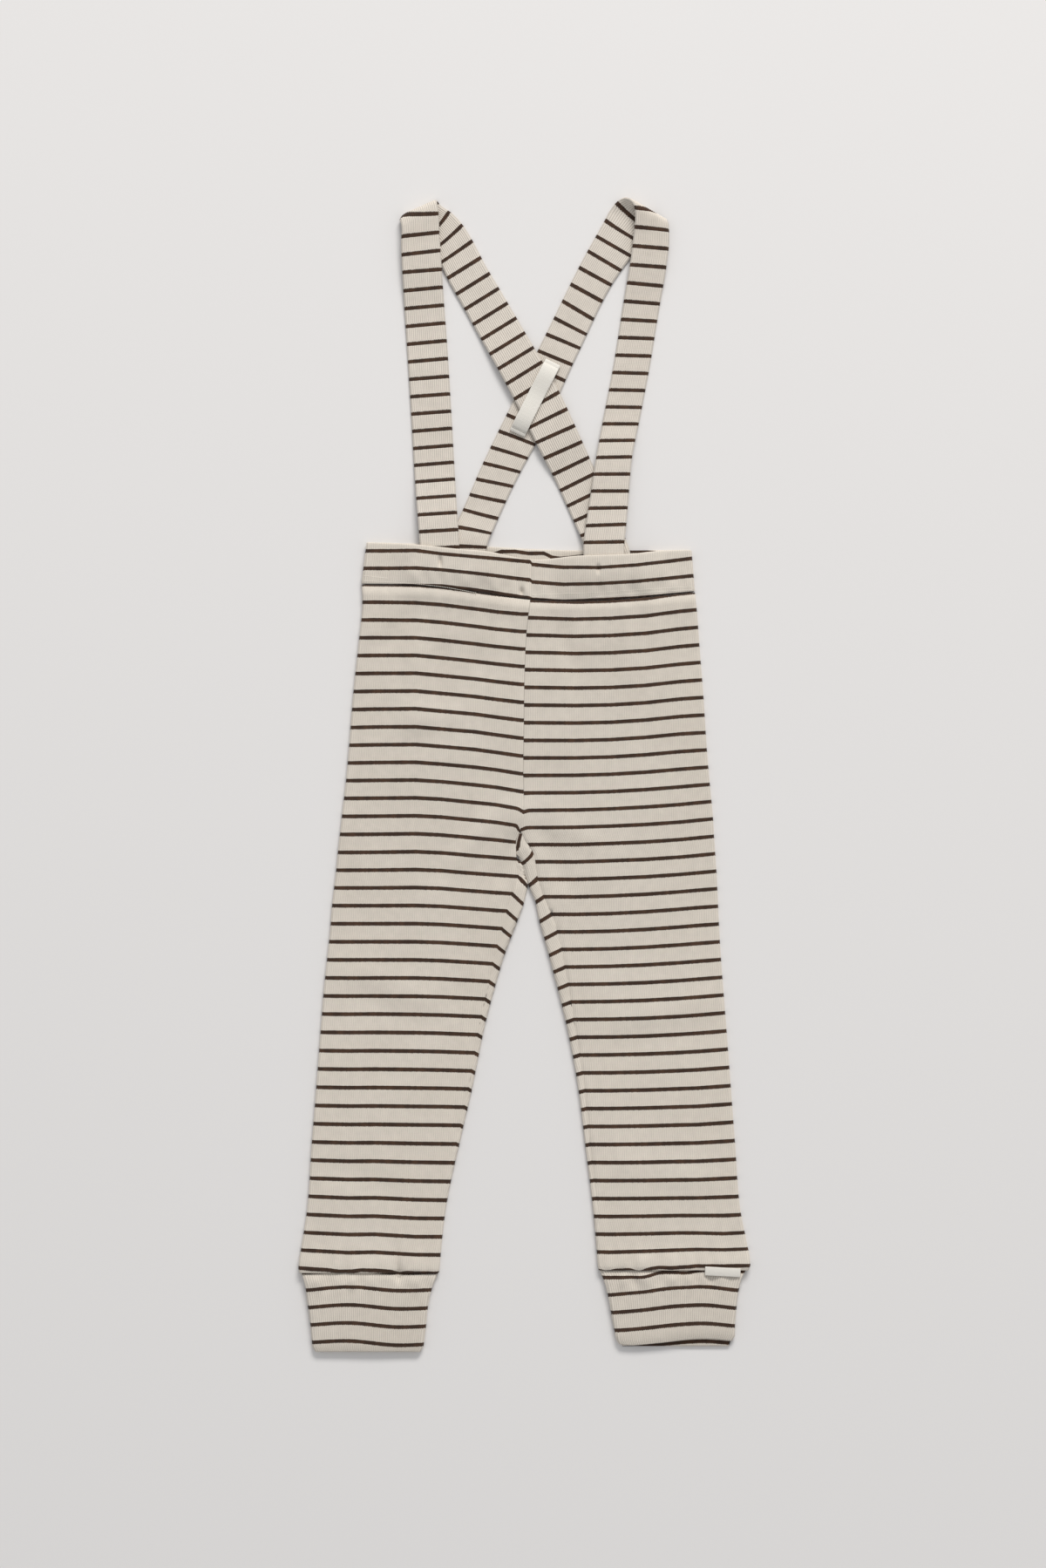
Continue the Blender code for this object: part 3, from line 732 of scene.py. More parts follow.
def smooth(low, high, value):
    """0 below low, 1 above high, with a soft change between them."""
    share = np.clip((value - low) / (high - low), 0.0, 1.0)
    return share * share * (3.0 - 2.0 * share)


def mix(start, end, share):
    return start + (end - start) * share


def bell(*distances):
    """1 in the middle and 0 far off; each distance is given in reaches."""
    return np.exp(-sum(distance**2 for distance in distances))


def curve(keys, values, at):
    """Values, or points, of the smooth curve through the given ones, at places along the rising keys."""
    keys, values = np.asarray(keys, float), np.asarray(values, float)
    gaps = np.diff(keys)
    if values.ndim > 1:
        gaps = gaps[:, None]
    rates = np.diff(values, axis=0) / gaps
    inner = (rates[:-1] * gaps[1:] + rates[1:] * gaps[:-1]) / (gaps[:-1] + gaps[1:])
    slopes = np.concatenate((rates[:1], inner, rates[-1:]))
    at = np.clip(at, keys[0], keys[-1])
    index = np.clip(np.searchsorted(keys, at, side="right") - 1, 0, len(keys) - 2)
    share = (at - keys[index]) / np.diff(keys)[index]
    gap = gaps[index]
    if values.ndim > 1:
        share = share[..., None]
    turn = share * share * (3.0 - 2.0 * share)
    bend = slopes[index] * share * (1.0 - share) ** 2 - slopes[index + 1] * share**2 * (1.0 - share)
    return mix(values[index], values[index + 1], turn) + gap * bend


def soft_column(rows, column, at):
    """The smooth curve through a column of a table, at places along its first column."""
    return curve(rows[:, 0], rows[:, column], at)


def straight_column(rows, column, at):
    """The same with straight runs from row to row."""
    return np.interp(at, rows[:, 0], rows[:, column])


def waist(column, x):
    return soft_column(WAIST, column, x)


def lengths_along(points):
    """The length of a line of points as far as each of them."""
    return np.concatenate(([0.0], np.cumsum(np.linalg.norm(np.diff(points, axis=0), axis=1))))


def points_at(lengths, points, at):
    """Points at the given lengths along a line of points."""
    return np.stack([np.interp(at, lengths, points[:, axis]) for axis in range(points.shape[1])], -1)


def unit(vectors):
    """Rows of vectors, each made 1 long."""
    return vectors / np.linalg.norm(vectors, axis=1)[:, None]


def strap_rise(x, y):
    """How much higher the front lies over the sewn strap ends."""
    across = sum(smooth(a, b, x) - smooth(c, d, x) for a, b, c, d in STRAP_RISE_X)
    return STRAP_RISE * across * smooth(*STRAP_RISE_Y, y)


def leg_height(y):
    """The height of a leg's front at its folds."""
    climb = smooth(*WAIST_CLIMB, y) + 1.0 - smooth(*ANKLE_CLIMB, y)
    return mix(LEG_HEIGHT, BAND_HEIGHT, climb)


def drape(x, y):
    """Soft unevenness of cloth that lies flat: its listed creases and slow waves."""
    height = 0.16 * np.sin(x / 13.0 + y / 31.0 + 0.7) * np.sin(y / 17.0 - x / 41.0)
    height += 0.12 * np.sin(x / 7.3 - y / 23.0 + 2.1) * np.sin(y / 11.0 + x / 29.0 + 1.3)
    for start_x, start_y, end_x, end_y, width, lift in CREASES:
        run = np.array((end_x - start_x, end_y - start_y))
        share = np.clip(((x - start_x) * run[0] + (y - start_y) * run[1]) / (run @ run), 0.0, 1.0)
        far = np.hypot(x - start_x - share * run[0], y - start_y - share * run[1])
        height += lift * bell(far / width)
    return height


def puckers(x, y, seam, off, spread, lift):
    """Small uneven gathers across a seam, fullest at a distance from it."""
    waves = np.sin(x / 1.9 + 1.6 * np.sin(x / 8.3)) + 0.8 * np.sin(x / 3.7 + 2.0 * np.sin(x / 13.0 + 1.0))
    return lift * 0.5 * waves * bell((y - (seam + off)) / spread)


def stripe_number(table, stripe_x, x, y):
    """How many stripes below the waist seam a place on a leg is."""
    heights = np.stack([np.interp(x, stripe_x, row[1:]) for row in table])
    number = np.full(x.shape, 0.0)
    for upper in range(len(table) - 1):
        share = (heights[upper] - y) / (heights[upper] - heights[upper + 1])
        here = mix(table[upper, 0], table[upper + 1, 0], share)
        first, last = upper == 0, upper == len(table) - 2
        inside = ((share >= 0.0) | first) & ((share < 1.0) | last)
        number = np.where(inside, here, number)
    return number


def add_object(name, data):
    """A new object in the scene, at the origin."""
    item = bpy.data.objects.new(name, data)
    bpy.context.scene.collection.objects.link(item)
    return item


def select_none():
    for other in bpy.context.selected_objects:
        other.select_set(False)


def new_mesh(name, verts, faces, uvs, material):
    """A mesh object with its cloth map: rib and stripe numbers on knit, and millimetres on tape."""
    mesh = bpy.data.meshes.new(name)
    verts = np.array(verts)
    verts[:, 2] = np.maximum(verts[:, 2], LOWEST)
    mesh.from_pydata((verts * MM).tolist(), [], faces)
    layer = mesh.uv_layers.new(name="cloth")
    layer.data.foreach_set("uv", np.asarray(uvs, np.float32).ravel())
    mesh.shade_smooth()
    mesh.materials.append(material)
    return add_object(name, mesh)


def loop_mesh(name, points, uv, material, wrap_rows):
    """A closed skin from a grid of points: the columns meet all round, and the rows meet or get caps."""
    rows, columns = points.shape[:2]
    index = np.arange(rows * columns).reshape(rows, columns)
    if wrap_rows:
        index = np.vstack((index, index[:1]))
    index = np.hstack((index, index[:, :1]))
    corners = [index[:-1, :-1], index[1:, :-1], index[1:, 1:], index[:-1, 1:]]
    uv_corners = [uv[:-1, :-1], uv[1:, :-1], uv[1:, 1:], uv[:-1, 1:]]
    quads = np.stack([corner.ravel() for corner in corners], axis=1)
    loops = np.stack([corner.reshape(-1, 2) for corner in uv_corners], axis=1)
    flat = points.reshape(-1, 3)
    a, b, c, d = (flat[quads[:, side]] for side in range(4))
    volume = np.einsum("ij,ij->i", a, np.cross(b, c) + np.cross(c, d)).sum()
    if volume < 0.0:
        quads, loops = quads[:, ::-1], loops[:, ::-1]
    faces = quads.tolist()
    loops = loops.reshape(-1, 2).tolist()
    if not wrap_rows:
        first, last = index[0, :columns].tolist(), index[-1, :columns].tolist()
        for cap in (first, last[::-1]) if volume >= 0.0 else (first[::-1], last):
            faces.append(cap)
            loops += [[0.0, 0.5]] * len(cap)
    return new_mesh(name, flat, faces, loops, material)


def strip_mesh(name, lines, marks, material):
    """A closed skin from lines of points that run the length of a strip, side by side round it."""
    points, uv = (np.transpose(np.array(grid), (1, 0, 2)) for grid in (lines, marks + marks[:1]))
    return loop_mesh(name, points, uv, material, wrap_rows=False)


def rib_heights(profile, columns, depth):
    """The rib's height at each of the numbered columns."""
    return depth * profile[columns % len(profile)]


class Wire:
    """One socket of a material. Sums and products of wires and numbers add Math nodes."""

    def __init__(self, recipe, socket):
        self.recipe = recipe
        self.socket = socket

    def __add__(self, other):
        return self.recipe.math("ADD", self, other)

    def __radd__(self, other):
        return self.recipe.math("ADD", other, self)

    def __sub__(self, other):
        return self.recipe.math("SUBTRACT", self, other)

    def __rsub__(self, other):
        return self.recipe.math("SUBTRACT", other, self)

    def __mul__(self, other):
        return self.recipe.math("MULTIPLY", self, other)

    def __rmul__(self, other):
        return self.recipe.math("MULTIPLY", other, self)


class Recipe:
    """A material's node tree, with its shader and its output in place."""

    def __init__(self, name, roughness, sheen):
        self.material = bpy.data.materials.new(name)
        self.material.use_nodes = True
        self.tree = self.material.node_tree
        self.shader = self.tree.nodes["Principled BSDF"]
        self.shader.inputs["Specular IOR Level"].default_value = 0.25
        self.shader.inputs["Sheen Weight"].default_value = sheen
        self.shader.inputs["Sheen Roughness"].default_value = 0.6
        self.shader.inputs["Roughness"].default_value = roughness

    def plug(self, slot, value):
        """Links a wire to a socket, or sets the socket's own value."""
        if isinstance(value, Wire):
            self.tree.links.new(value.socket, slot)
        else:
            slot.default_value = value

    def node(self, kind, settings=(), inputs=(), output=0):
        """A node with its settings, then the values or wires of its sockets; returns the wire it gives."""
        node = self.tree.nodes.new(kind)
        for setting, value in dict(settings).items():
            setattr(node, setting, value)
        for slot, value in dict(inputs).items():
            self.plug(node.inputs[slot], value)
        return Wire(self, node.outputs[output])

    def math(self, operation, *values):
        """A Math node on wires and numbers."""
        return self.node("ShaderNodeMath", {"operation": operation}, enumerate(values))

    def feed(self, slot, wire):
        self.plug(self.shader.inputs[slot], wire)

    def step(self, value, low, high):
        """0 below low and 1 above high, with a soft change between them."""
        inputs = {"Value": value, "From Min": low, "From Max": high}
        return self.node("ShaderNodeMapRange", {"interpolation_type": "SMOOTHSTEP"}, inputs)

    def blend(self, share, start, end):
        """A mix of two colours."""
        return self.node("ShaderNodeMix", {"data_type": "RGBA"}, {0: share, 6: start, 7: end}, output=2)

    def shade(self, colour, light):
        """A colour made lighter or darker from place to place."""
        return self.node("ShaderNodeVectorMath", {"operation": "SCALE"}, {0: colour, "Scale": light})

    def noise(self, vector, scale, detail=2.0):
        return self.node("ShaderNodeTexNoise", {}, {"Vector": vector, "Scale": scale, "Detail": detail})

    def split(self, vector):
        """The first two numbers of a vector."""
        first = self.node("ShaderNodeSeparateXYZ", {}, {0: vector})
        return first, Wire(self, first.socket.node.outputs[1])

    def object_place(self):
        return self.node("ShaderNodeTexCoord", output=3)

    def cloth_place(self):
        """The two numbers of the cloth's own map."""
        return self.split(self.node("ShaderNodeUVMap", {"uv_map": "cloth"}))

    def bump(self, height, strength=1.0):
        """Height in metres, felt by the light."""
        inputs = {"Strength": strength, "Distance": 1.0, "Height": height}
        self.feed("Normal", self.node("ShaderNodeBump", {}, inputs))


def tint(colour, factor):
    """A colour made lighter or darker, with its alpha."""
    return tuple(min(part * factor, 1.0) for part in colour) + (1.0,)


def knit_material(name, ground, brown, stripe_width, furrow, furrow_shade, seat_shade):
    """Rib knit: furrows between ribs with painted shade in them, looped courses, and dark stripes with
    edges stepped rib by rib.
    """
    knit = Recipe(name, 0.92, 0.12)
    rib, stripe = knit.cloth_place()
    place = knit.object_place()
    crown = knit.step(0.5 - knit.math("ABSOLUTE", knit.math("FRACT", rib) - 0.5), 0.0, 0.5)

    whole_rib = {"W": knit.math("FLOOR", rib)}
    each_rib = knit.node("ShaderNodeTexWhiteNoise", {"noise_dimensions": "1D"}, whole_rib)
    fuzz = knit.noise(place, FUZZ, 1.0)
    slub = knit.noise(place, SLUB)
    cloud = knit.noise(place, CLOUD)

    # A stripe's upper edge is nearly even, and its lower edge hangs further down on each rib's crown.
    down = (knit.math("FRACT", stripe + 0.5) - 0.5) * STRIPE_PITCH
    half = stripe_width / MM / 2.0
    upper_edge = down + (each_rib - 0.5) * 0.1 + (fuzz - 0.5) * 0.22
    tooth = crown * 0.36 + (each_rib - 0.5) * 0.16 + (fuzz - 0.5) * 0.3
    below = knit.step(down - tooth, half - 0.3, half - 0.08)
    dark = knit.step(upper_edge, -half - 0.12, -half + 0.12) * (1.0 - below)

    courses = stripe * COURSES_IN_STRIPE_PITCH + crown * 0.55
    loops = knit.math("SINE", courses * (2.0 * math.pi))
    # Painted shade darkens the furrows between the ribs; slubs, fuzz, loops and cloud are the yarn's own
    # unevenness.
    light = 1.03 - (1.0 - crown) * furrow_shade + (slub - 0.5) * 0.16 + (fuzz - 0.5) * 0.12 + loops * 0.03
    towards_seat = knit.step(knit.split(place)[1], *SEAT_SHADE_Y)
    light = light + (cloud - 0.5) * 0.08 - towards_seat * seat_shade
    cooler = (ground[0], ground[1] * 1.012, ground[2] * 1.03)
    oat = knit.blend(cloud, tint(ground, 0.985), tint(cooler, 1.0))
    melange = knit.blend(knit.step(slub, 0.35, 0.75), tint(brown, 0.8), tint(brown, 1.5))
    knit.feed("Base Color", knit.blend(dark, knit.shade(oat, light), melange))
    knit.feed("Roughness", 0.86 + (slub - 0.5) * 0.16)
    knit.bump(loops * 0.00003 + crown * furrow + fuzz * 0.00005 + slub * 0.00006, 0.8)
    return knit.material


def tape_material(name, ground):
    """Herringbone cotton tape: slanting threads that turn at each column."""
    tape = Recipe(name, 0.85, 0.08)
    across, along = tape.cloth_place()
    place = tape.object_place()
    column = tape.math("PINGPONG", across, TAPE_COLUMN)
    threads = (along + column) * (2.0 * math.pi / TAPE_THREAD)
    twill = tape.math("SINE", threads) * 0.5 + 0.5
    turn = tape.step(column, 0.0, 0.16) * tape.step(TAPE_COLUMN - column, 0.0, 0.16)
    fuzz = tape.noise(place, 1900.0)
    cloud = tape.noise(place, 90.0)
    light = 0.83 + twill * 0.14 + turn * 0.05 + (fuzz - 0.5) * 0.12 + (cloud - 0.5) * 0.08
    tape.feed("Base Color", tape.shade(ground, light))
    tape.feed("Roughness", 0.8 + (fuzz - 0.5) * 0.2)
    tape.bump(twill * 0.00012 * turn + fuzz * 0.00004, 0.9)
    return tape.material


def tab_material(name, ground):
    """Finely woven tab: plain weave, crisp and a little smoother than the knit."""
    tab = Recipe(name, 0.7, 0.05)
    warp, weft = (tab.math("SINE", way * (2.0 * math.pi / TAB_THREAD)) for way in tab.cloth_place())
    weave = warp * weft
    fuzz = tab.noise(tab.object_place(), 1500.0)
    tab.feed("Base Color", tab.shade(ground, 0.94 + weave * 0.05 + (fuzz - 0.5) * 0.1))
    tab.feed("Roughness", 0.66 + (fuzz - 0.5) * 0.2)
    tab.bump(weave * 0.00005 + fuzz * 0.00003, 0.8)
    return tab.material


def thread_material(name, ground):
    """Cotton sewing thread, a little uneven."""
    thread = Recipe(name, 0.75, 0.1)
    fuzz = thread.noise(thread.object_place(), 2400.0)
    thread.feed("Base Color", thread.shade(ground, 0.86 + fuzz * 0.3))
    thread.feed("Roughness", 0.7 + (fuzz - 0.5) * 0.2)
    thread.bump(fuzz * 0.00005)
    return thread.material


def floor_material(name, ground):
    """Plain matt floor with the faintest unevenness."""
    floor = Recipe(name, 0.9, 0.0)
    cloud = floor.noise(floor.object_place(), 1.6, 1.0)
    floor.feed("Base Color", floor.shade(ground, 0.99 + cloud * 0.02))
    floor.feed("Roughness", 0.88 + cloud * 0.04)
    return floor.material


def found_material(kind, name, *values):
    """The material of that name, made the first time it is asked for."""
    return bpy.data.materials.get(name) or kind(name, *values)


def knit_for(settings, slot):
    """The knit of a material slot, in its two yarns."""
    ground = settings.pale_colour if slot == "strap_rib" else settings.oat_colour
    yarns = (tuple(ground), tuple(settings.stripe_colour))
    return found_material(knit_material, slot + "_knit", *yarns, settings.stripe_width, *KNIT_LOOKS[slot])


def finish_piece(piece, node):
    """Hangs a cloth piece on the root and hides the imported part that it replaces."""
    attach(piece, "root")
    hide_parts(node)


class LegShape:
    """One leg's cloth: where its rows lie and how far each reaches from the outer fold."""

    def __init__(self, out):
        self.out = out
        self.seat, self.tube, self.stripes, self.stripe_x, self.slant, self.fullness = LEG_TABLES[out]
        self.shift, self.waves = STRIPE_CHANGES[out]
        self.parting = self.seat[0, 0]
        self.hem = self.tube[0, 0]
        side = 0 if out == LEFT else 1
        upper = np.linspace(self.seat[-1, 0], self.parting, SEAT_ROWS[side])
        middle = np.linspace(self.tube[-1, 0], CROTCH_END, CROTCH_ROWS[side])
        lower = np.linspace(CROTCH_END, self.hem + HEM_ROWS[0], TUBE_ROWS)[1:]
        self.rows = np.concatenate((upper, middle, lower, self.hem + HEM_ROWS[1:]))
        tube_extents = [self.extent(row) for row in self.rows[self.rows < self.parting]]
        self.front_reach = max(front for front, back in tube_extents)
        self.back_reach = max(back for front, back in tube_extents)
        self.seat_back = self.extent(self.parting)[1]

    def is_tube(self, row):
        return row < self.parting

    def measures(self, row):
        """Fold radius, outer fold's centre, front edge, where the flat back ends, and a tube's inseam."""
        table = self.tube if self.is_tube(row) else self.seat
        low = SINGLE_CLOTH / 2.0
        radius = (leg_height(row) - low) / 2.0
        fold = soft_column(table, 1, row) - self.out * (low + radius)
        if self.is_tube(row):
            inner = soft_column(table, 2, row)
            inner_fold = inner + self.out * (low + radius)
            inseam = inner + self.out * soft_column(table, 3, row)
            return radius, fold, inseam, inner_fold, inseam
        front_column, back_column = SEAM_COLUMNS[self.out]
        front_edge = soft_column(CENTRE, front_column, row) - self.out * SEAM_CLOSE
        return radius, fold, front_edge, soft_column(CENTRE, back_column, row), None

    def extent(self, row):
        """How far the cloth reaches from the outer fold, on the front and round the back."""
        radius, fold, front_edge, back_end, inseam = self.measures(row)
        quarter = math.pi * radius / 2.0
        front = quarter + abs(front_edge - fold)
        back = quarter + abs(back_end - fold)
        if inseam is not None:
            back += math.pi * radius + abs(inseam - back_end)
        return front, back

    def scales(self, row):
        """Above the crotch the ribs spread to fill the row, below it they keep their distance."""
        front, back = self.extent(row)
        keep = 1.0 - smooth(*RIB_SPREAD, row)
        back_scale = 1.0 if self.is_tube(row) else back / self.seat_back
        return mix(front / self.front_reach, 1.0, keep), back_scale

    def row_points(self, row, reach):
        """Points, outward normals, true reaches and stripe numbers of one row, at reaches from the fold."""
        radius, fold, front_edge, back_end, inseam = self.measures(row)
        front, back = self.extent(row)
        front_scale, back_scale = self.scales(row)
        actual = np.where(reach < 0.0, reach * front_scale, reach * back_scale)
        actual = np.clip(actual, -front, back)
        low, out = SINGLE_CLOTH / 2.0, self.out
        quarter = math.pi * radius / 2.0
        run = np.abs(actual) - quarter
        angle = np.clip(actual, -quarter, quarter) / radius
        x = np.where(run > 0.0, fold - out * run, fold + out * radius * np.cos(angle))
        z = low + radius - radius * np.sin(angle)
        normal_x = np.where(run > 0.0, 0.0, out * np.cos(angle))
        normal_z = -np.sin(angle)
        past = actual - quarter - abs(back_end - fold)
        if inseam is not None:
            turn = np.clip(past / radius, 0.0, math.pi)
            strip = np.clip(past - math.pi * radius, 0.0, None)
            x = np.where(past > 0.0, back_end - out * radius * np.sin(turn) + out * strip, x)
            z = np.where(past > 0.0, low + radius - radius * np.cos(turn), z)
            normal_x = np.where(past > 0.0, -out * np.sin(turn), normal_x)
            normal_z = np.where(past > 0.0, -np.cos(turn), normal_z)
            sunk = 1.0 - smooth(low, low + 1.7 * radius, z)
            beside = smooth(-FULLNESS_REACH, 0.0, past)
            x = x - out * sunk * beside * straight_column(self.fullness, 1, row)
        slope = 0.0 if self.is_tube(row) else soft_column(self.seat, 2, row)
        y = row + slope * (waist(SEAM, x) - waist(SEAM, front_edge))
        z = self.relief(row, x, y, z, radius, front_edge)
        number = self.stripe_count(x, y, row, past, front_edge, inseam, back_end, z, radius)
        return np.stack((x, y, z), 1), np.stack((normal_x, 0.0 * x, normal_z), 1), actual, number

    def relief(self, row, x, y, z, radius, front_edge):
        """Heights with the strap ends, creases, grooves and gathers of the front."""
        low = SINGLE_CLOTH / 2.0
        top = smooth(low + radius * 0.6, low + 2.0 * radius, z)
        z = z + top * (strap_rise(x, y) + drape(x, y))
        depth = CENTRE_GROOVE
        if self.is_tube(row):
            begin, end = (self.slant[0, 0] + place for place in GROOVE_START)
            depth = INSEAM_GROOVE * smooth(begin, end, row)
        z = z - top * depth * bell((x - front_edge) / GROOVE_REACH)
        above, reach, height = ANKLE_ROLL
        z = z + top * height * bell((y - (self.hem + above)) / reach)
        z = z + top * puckers(x, y, self.hem, *ANKLE_GATHERS)
        z = z + top * puckers(x, y, waist(SEAM, x), *WAIST_GATHERS)
        if self.out == LEFT:
            hollow_x, hollow_y, across, along, depth = CROTCH_HOLLOW
            z = z - top * depth * bell((x - hollow_x) / across, (y - hollow_y) / along)
        return z

    def stripe_count(self, x, y, row, past, front_edge, inseam, back_end, z, radius):
        """Stripes counted from the waist; they slant on the rolled strip, and settle across the back."""
        if inseam is None:
            dip = straight_column(STRIPE_DIP, 1 if self.out == LEFT else 2, row)
            dip = dip * bell((x - front_edge) / DIP_REACH) * (z > SINGLE_CLOTH / 2.0 + radius)
            return stripe_number(self.stripes, self.stripe_x, x, y + dip)
        fall = straight_column(self.slant, 1, row)
        width = abs(back_end - inseam) + math.pi * radius
        on_strip = np.clip(width - past, 0.0, width)
        settle = np.clip(1.0 + past / SETTLE_WIDTH, 0.0, 1.0)
        below_crotch = 1.0 - smooth(self.tube[-1, 0] - SETTLE_START, self.tube[-1, 0], row)
        share = np.where(past > 0.0, 1.0, below_crotch * settle * settle)
        here = np.where(past > 0.0, inseam, x)
        fallen = fall * np.where(past > 0.0, on_strip, width)
        turned = y + share * (fallen - straight_column(self.shift, 1, row))
        for wave_x, wave_y, reach, dip in self.waves:
            turned += dip * bell((x - wave_x) / reach, (y - wave_y) / WAVE_REACH)
        return stripe_number(self.stripes, self.stripe_x, here, turned)


def make_leg(name, shape, settings, material):
    """One leg: its rows of points, joined where the two edges meet at the inseam, with a cloth wall."""
    pitch = settings.rib_pitch / MM / LEG_RIB_COLUMNS
    columns = np.arange(-math.ceil(shape.front_reach / pitch), math.ceil(shape.back_reach / pitch) + 1)
    reach = columns * pitch
    ribs = rib_heights(LEG_RIB_PROFILE, columns, settings.rib_depth / MM)
    verts, uv_rows, index_rows = [], [], []
    for row in shape.rows:
        points, normals, actual, number = shape.row_points(row, reach)
        front, back = shape.extent(row)
        inside = np.flatnonzero((actual > -front) & (actual < back))
        begin, end = max(inside[0] - 1, 0), min(inside[-1] + 1, len(columns) - 1)
        near_edge = np.minimum(actual + front, back - actual)
        placed = points + normals * (ribs * smooth(0.0, RIB_FADE, near_edge))[:, None]
        index = np.clip(np.arange(len(columns)), begin, end) - begin + len(verts)
        verts.extend(placed[begin : end + 1].tolist())
        if shape.is_tube(row):
            # The row's last point is its first one.
            index[index == index[-1]] = index[0]
            verts.pop()
        index_rows.append(index)
        reach_here = np.clip(reach, reach[begin], reach[end])
        uv_rows.append(np.stack((reach_here / pitch / LEG_RIB_COLUMNS, number), 1))
    faces, uvs = [], []
    for above, below, uv_above, uv_below in zip(index_rows, index_rows[1:], uv_rows, uv_rows[1:]):
        for column in range(len(columns) - 1):
            corners = (above[column], below[column], below[column + 1], above[column + 1])
            marks = (uv_above[column], uv_below[column], uv_below[column + 1], uv_above[column + 1])
            kept = [side for side in range(4) if corners[side] != corners[side - 1]]
            if len(kept) < 3:
                continue
            if shape.out == RIGHT:
                kept.reverse()
            faces.append([int(corners[side]) for side in kept])
            uvs += [marks[side] for side in kept]
    piece = new_mesh(name, verts, faces, uvs, material)
    add_wall(piece, SINGLE_CLOTH)
    return piece


def add_wall(piece, cloth):
    """Gives a sheet its thickness, half on each side."""
    wall = piece.modifiers.new("Wall", "SOLIDIFY")
    wall.thickness = cloth * MM
    wall.offset = 0.0
    select_none()
    piece.select_set(True)
    bpy.context.view_layer.objects.active = piece
    bpy.ops.object.modifier_apply(modifier=wall.name)
    for vertex in piece.data.vertices:
        vertex.co.z = max(vertex.co.z, LOWEST * MM)


class RingShape:
    """A flat ring of doubled cloth: the waistband or a cuff."""

    def __init__(self, sides, front_y, back_y, rise, start_x):
        self.sides = sides
        self.front_y = front_y
        self.back_y = back_y
        self.rise = rise
        self.start_x = start_x

    def row(self, share, columns):
        """Middle points, normals and share of front round the ring, at a share of its height."""
        left, right = self.sides(share)
        low = DOUBLE_CLOTH / 2.0
        radius = (BAND_HEIGHT - low) / 2.0
        start, end = left + low + radius, right - low - radius
        width, half_round = end - start, math.pi * radius
        around = 2.0 * (width + half_round)
        along = (self.start_x - start + np.arange(columns) / columns * around) % around
        right_turn = np.clip((along - width) / radius, 0.0, math.pi)
        left_turn = np.clip((along - 2.0 * width - half_round) / radius, 0.0, math.pi)
        on_front = along <= width
        on_back = (along > width + half_round) & (along <= 2.0 * width + half_round)
        on_left = along > 2.0 * width + half_round
        x = np.where(on_front, start + along, end + radius * np.sin(right_turn))
        x = np.where(on_back, end - (along - width - half_round), x)
        x = np.where(on_left, start - radius * np.sin(left_turn), x)
        z = low + radius + radius * np.cos(right_turn)
        z = np.where(on_left, low + radius - radius * np.cos(left_turn), z)
        normal_x = np.where(on_left, -np.sin(left_turn), np.sin(right_turn))
        normal_z = np.where(on_left, -np.cos(left_turn), np.cos(right_turn))
        front = smooth(low + radius * 0.4, low + 2.0 * radius, z)
        y = mix(self.back_y(share, x), self.front_y(share, x), np.where(on_back, 0.0, 1.0))
        z = z + front * self.rise(x, y)
        return np.stack((x, y, z), 1), np.stack((normal_x, 0.0 * x, normal_z), 1), front


def make_ring(name, shape, ribs, rows, depth, number_of, material):
    """A doubled band with rounded edges: its outer face, lower edge, inner face and upper edge."""
    columns = ribs * BAND_RIB_COLUMNS
    half = DOUBLE_CLOTH / 2.0
    shares = np.linspace(0.0, 1.0, rows)
    profile = [(share, 0.0, 1.0) for share in shares]
    profile += [(1.0, -math.sin(turn), math.cos(turn)) for turn in EDGE_TURNS]
    profile += [(share, 0.0, -1.0) for share in shares[::-1]]
    profile += [(0.0, math.sin(turn), -math.cos(turn)) for turn in EDGE_TURNS]
    heights = rib_heights(BAND_RIB_PROFILE, np.arange(columns), depth)
    rib_numbers = np.arange(columns + 1) / BAND_RIB_COLUMNS
    grid, uv = [], []
    for share, over, side in profile:
        points, normals, front = shape.row(share, columns)
        points = points + normals * (half * side + heights * side)[:, None]
        points[:, 1] += over * half
        grid.append(points)
        numbers = number_of(points[:, 0], points[:, 1], front)
        uv.append(np.stack((rib_numbers, np.append(numbers, numbers[0])), 1))
    uv.append(uv[0])
    return loop_mesh(name, np.array(grid), np.array(uv), material, wrap_rows=True)


def band_stripes(x, y, front):
    """Stripes counted on the waistband; the third lies at its seam."""
    behind = 1.0 + (straight_column(BACK_BAND_STRIPE, 1, x) - y) / STRIPE_PITCH
    upper = straight_column(BAND_STRIPES, 1, x)
    lower = straight_column(BAND_STRIPES, 2, x)
    return mix(behind, 1.0 + (upper - y) / (upper - lower), front)


def cuff_stripes(table):
    """How a cuff's stripes are counted from the one at its seam."""

    def number_of(x, y, front):
        seam, first, third = (soft_column(table, column, x) for column in (1, 2, 3))
        lower = 1.0 + 2.0 * (first - y) / (first - third)
        return np.where(y > first, (seam - y) / (seam - first), lower)

    return number_of


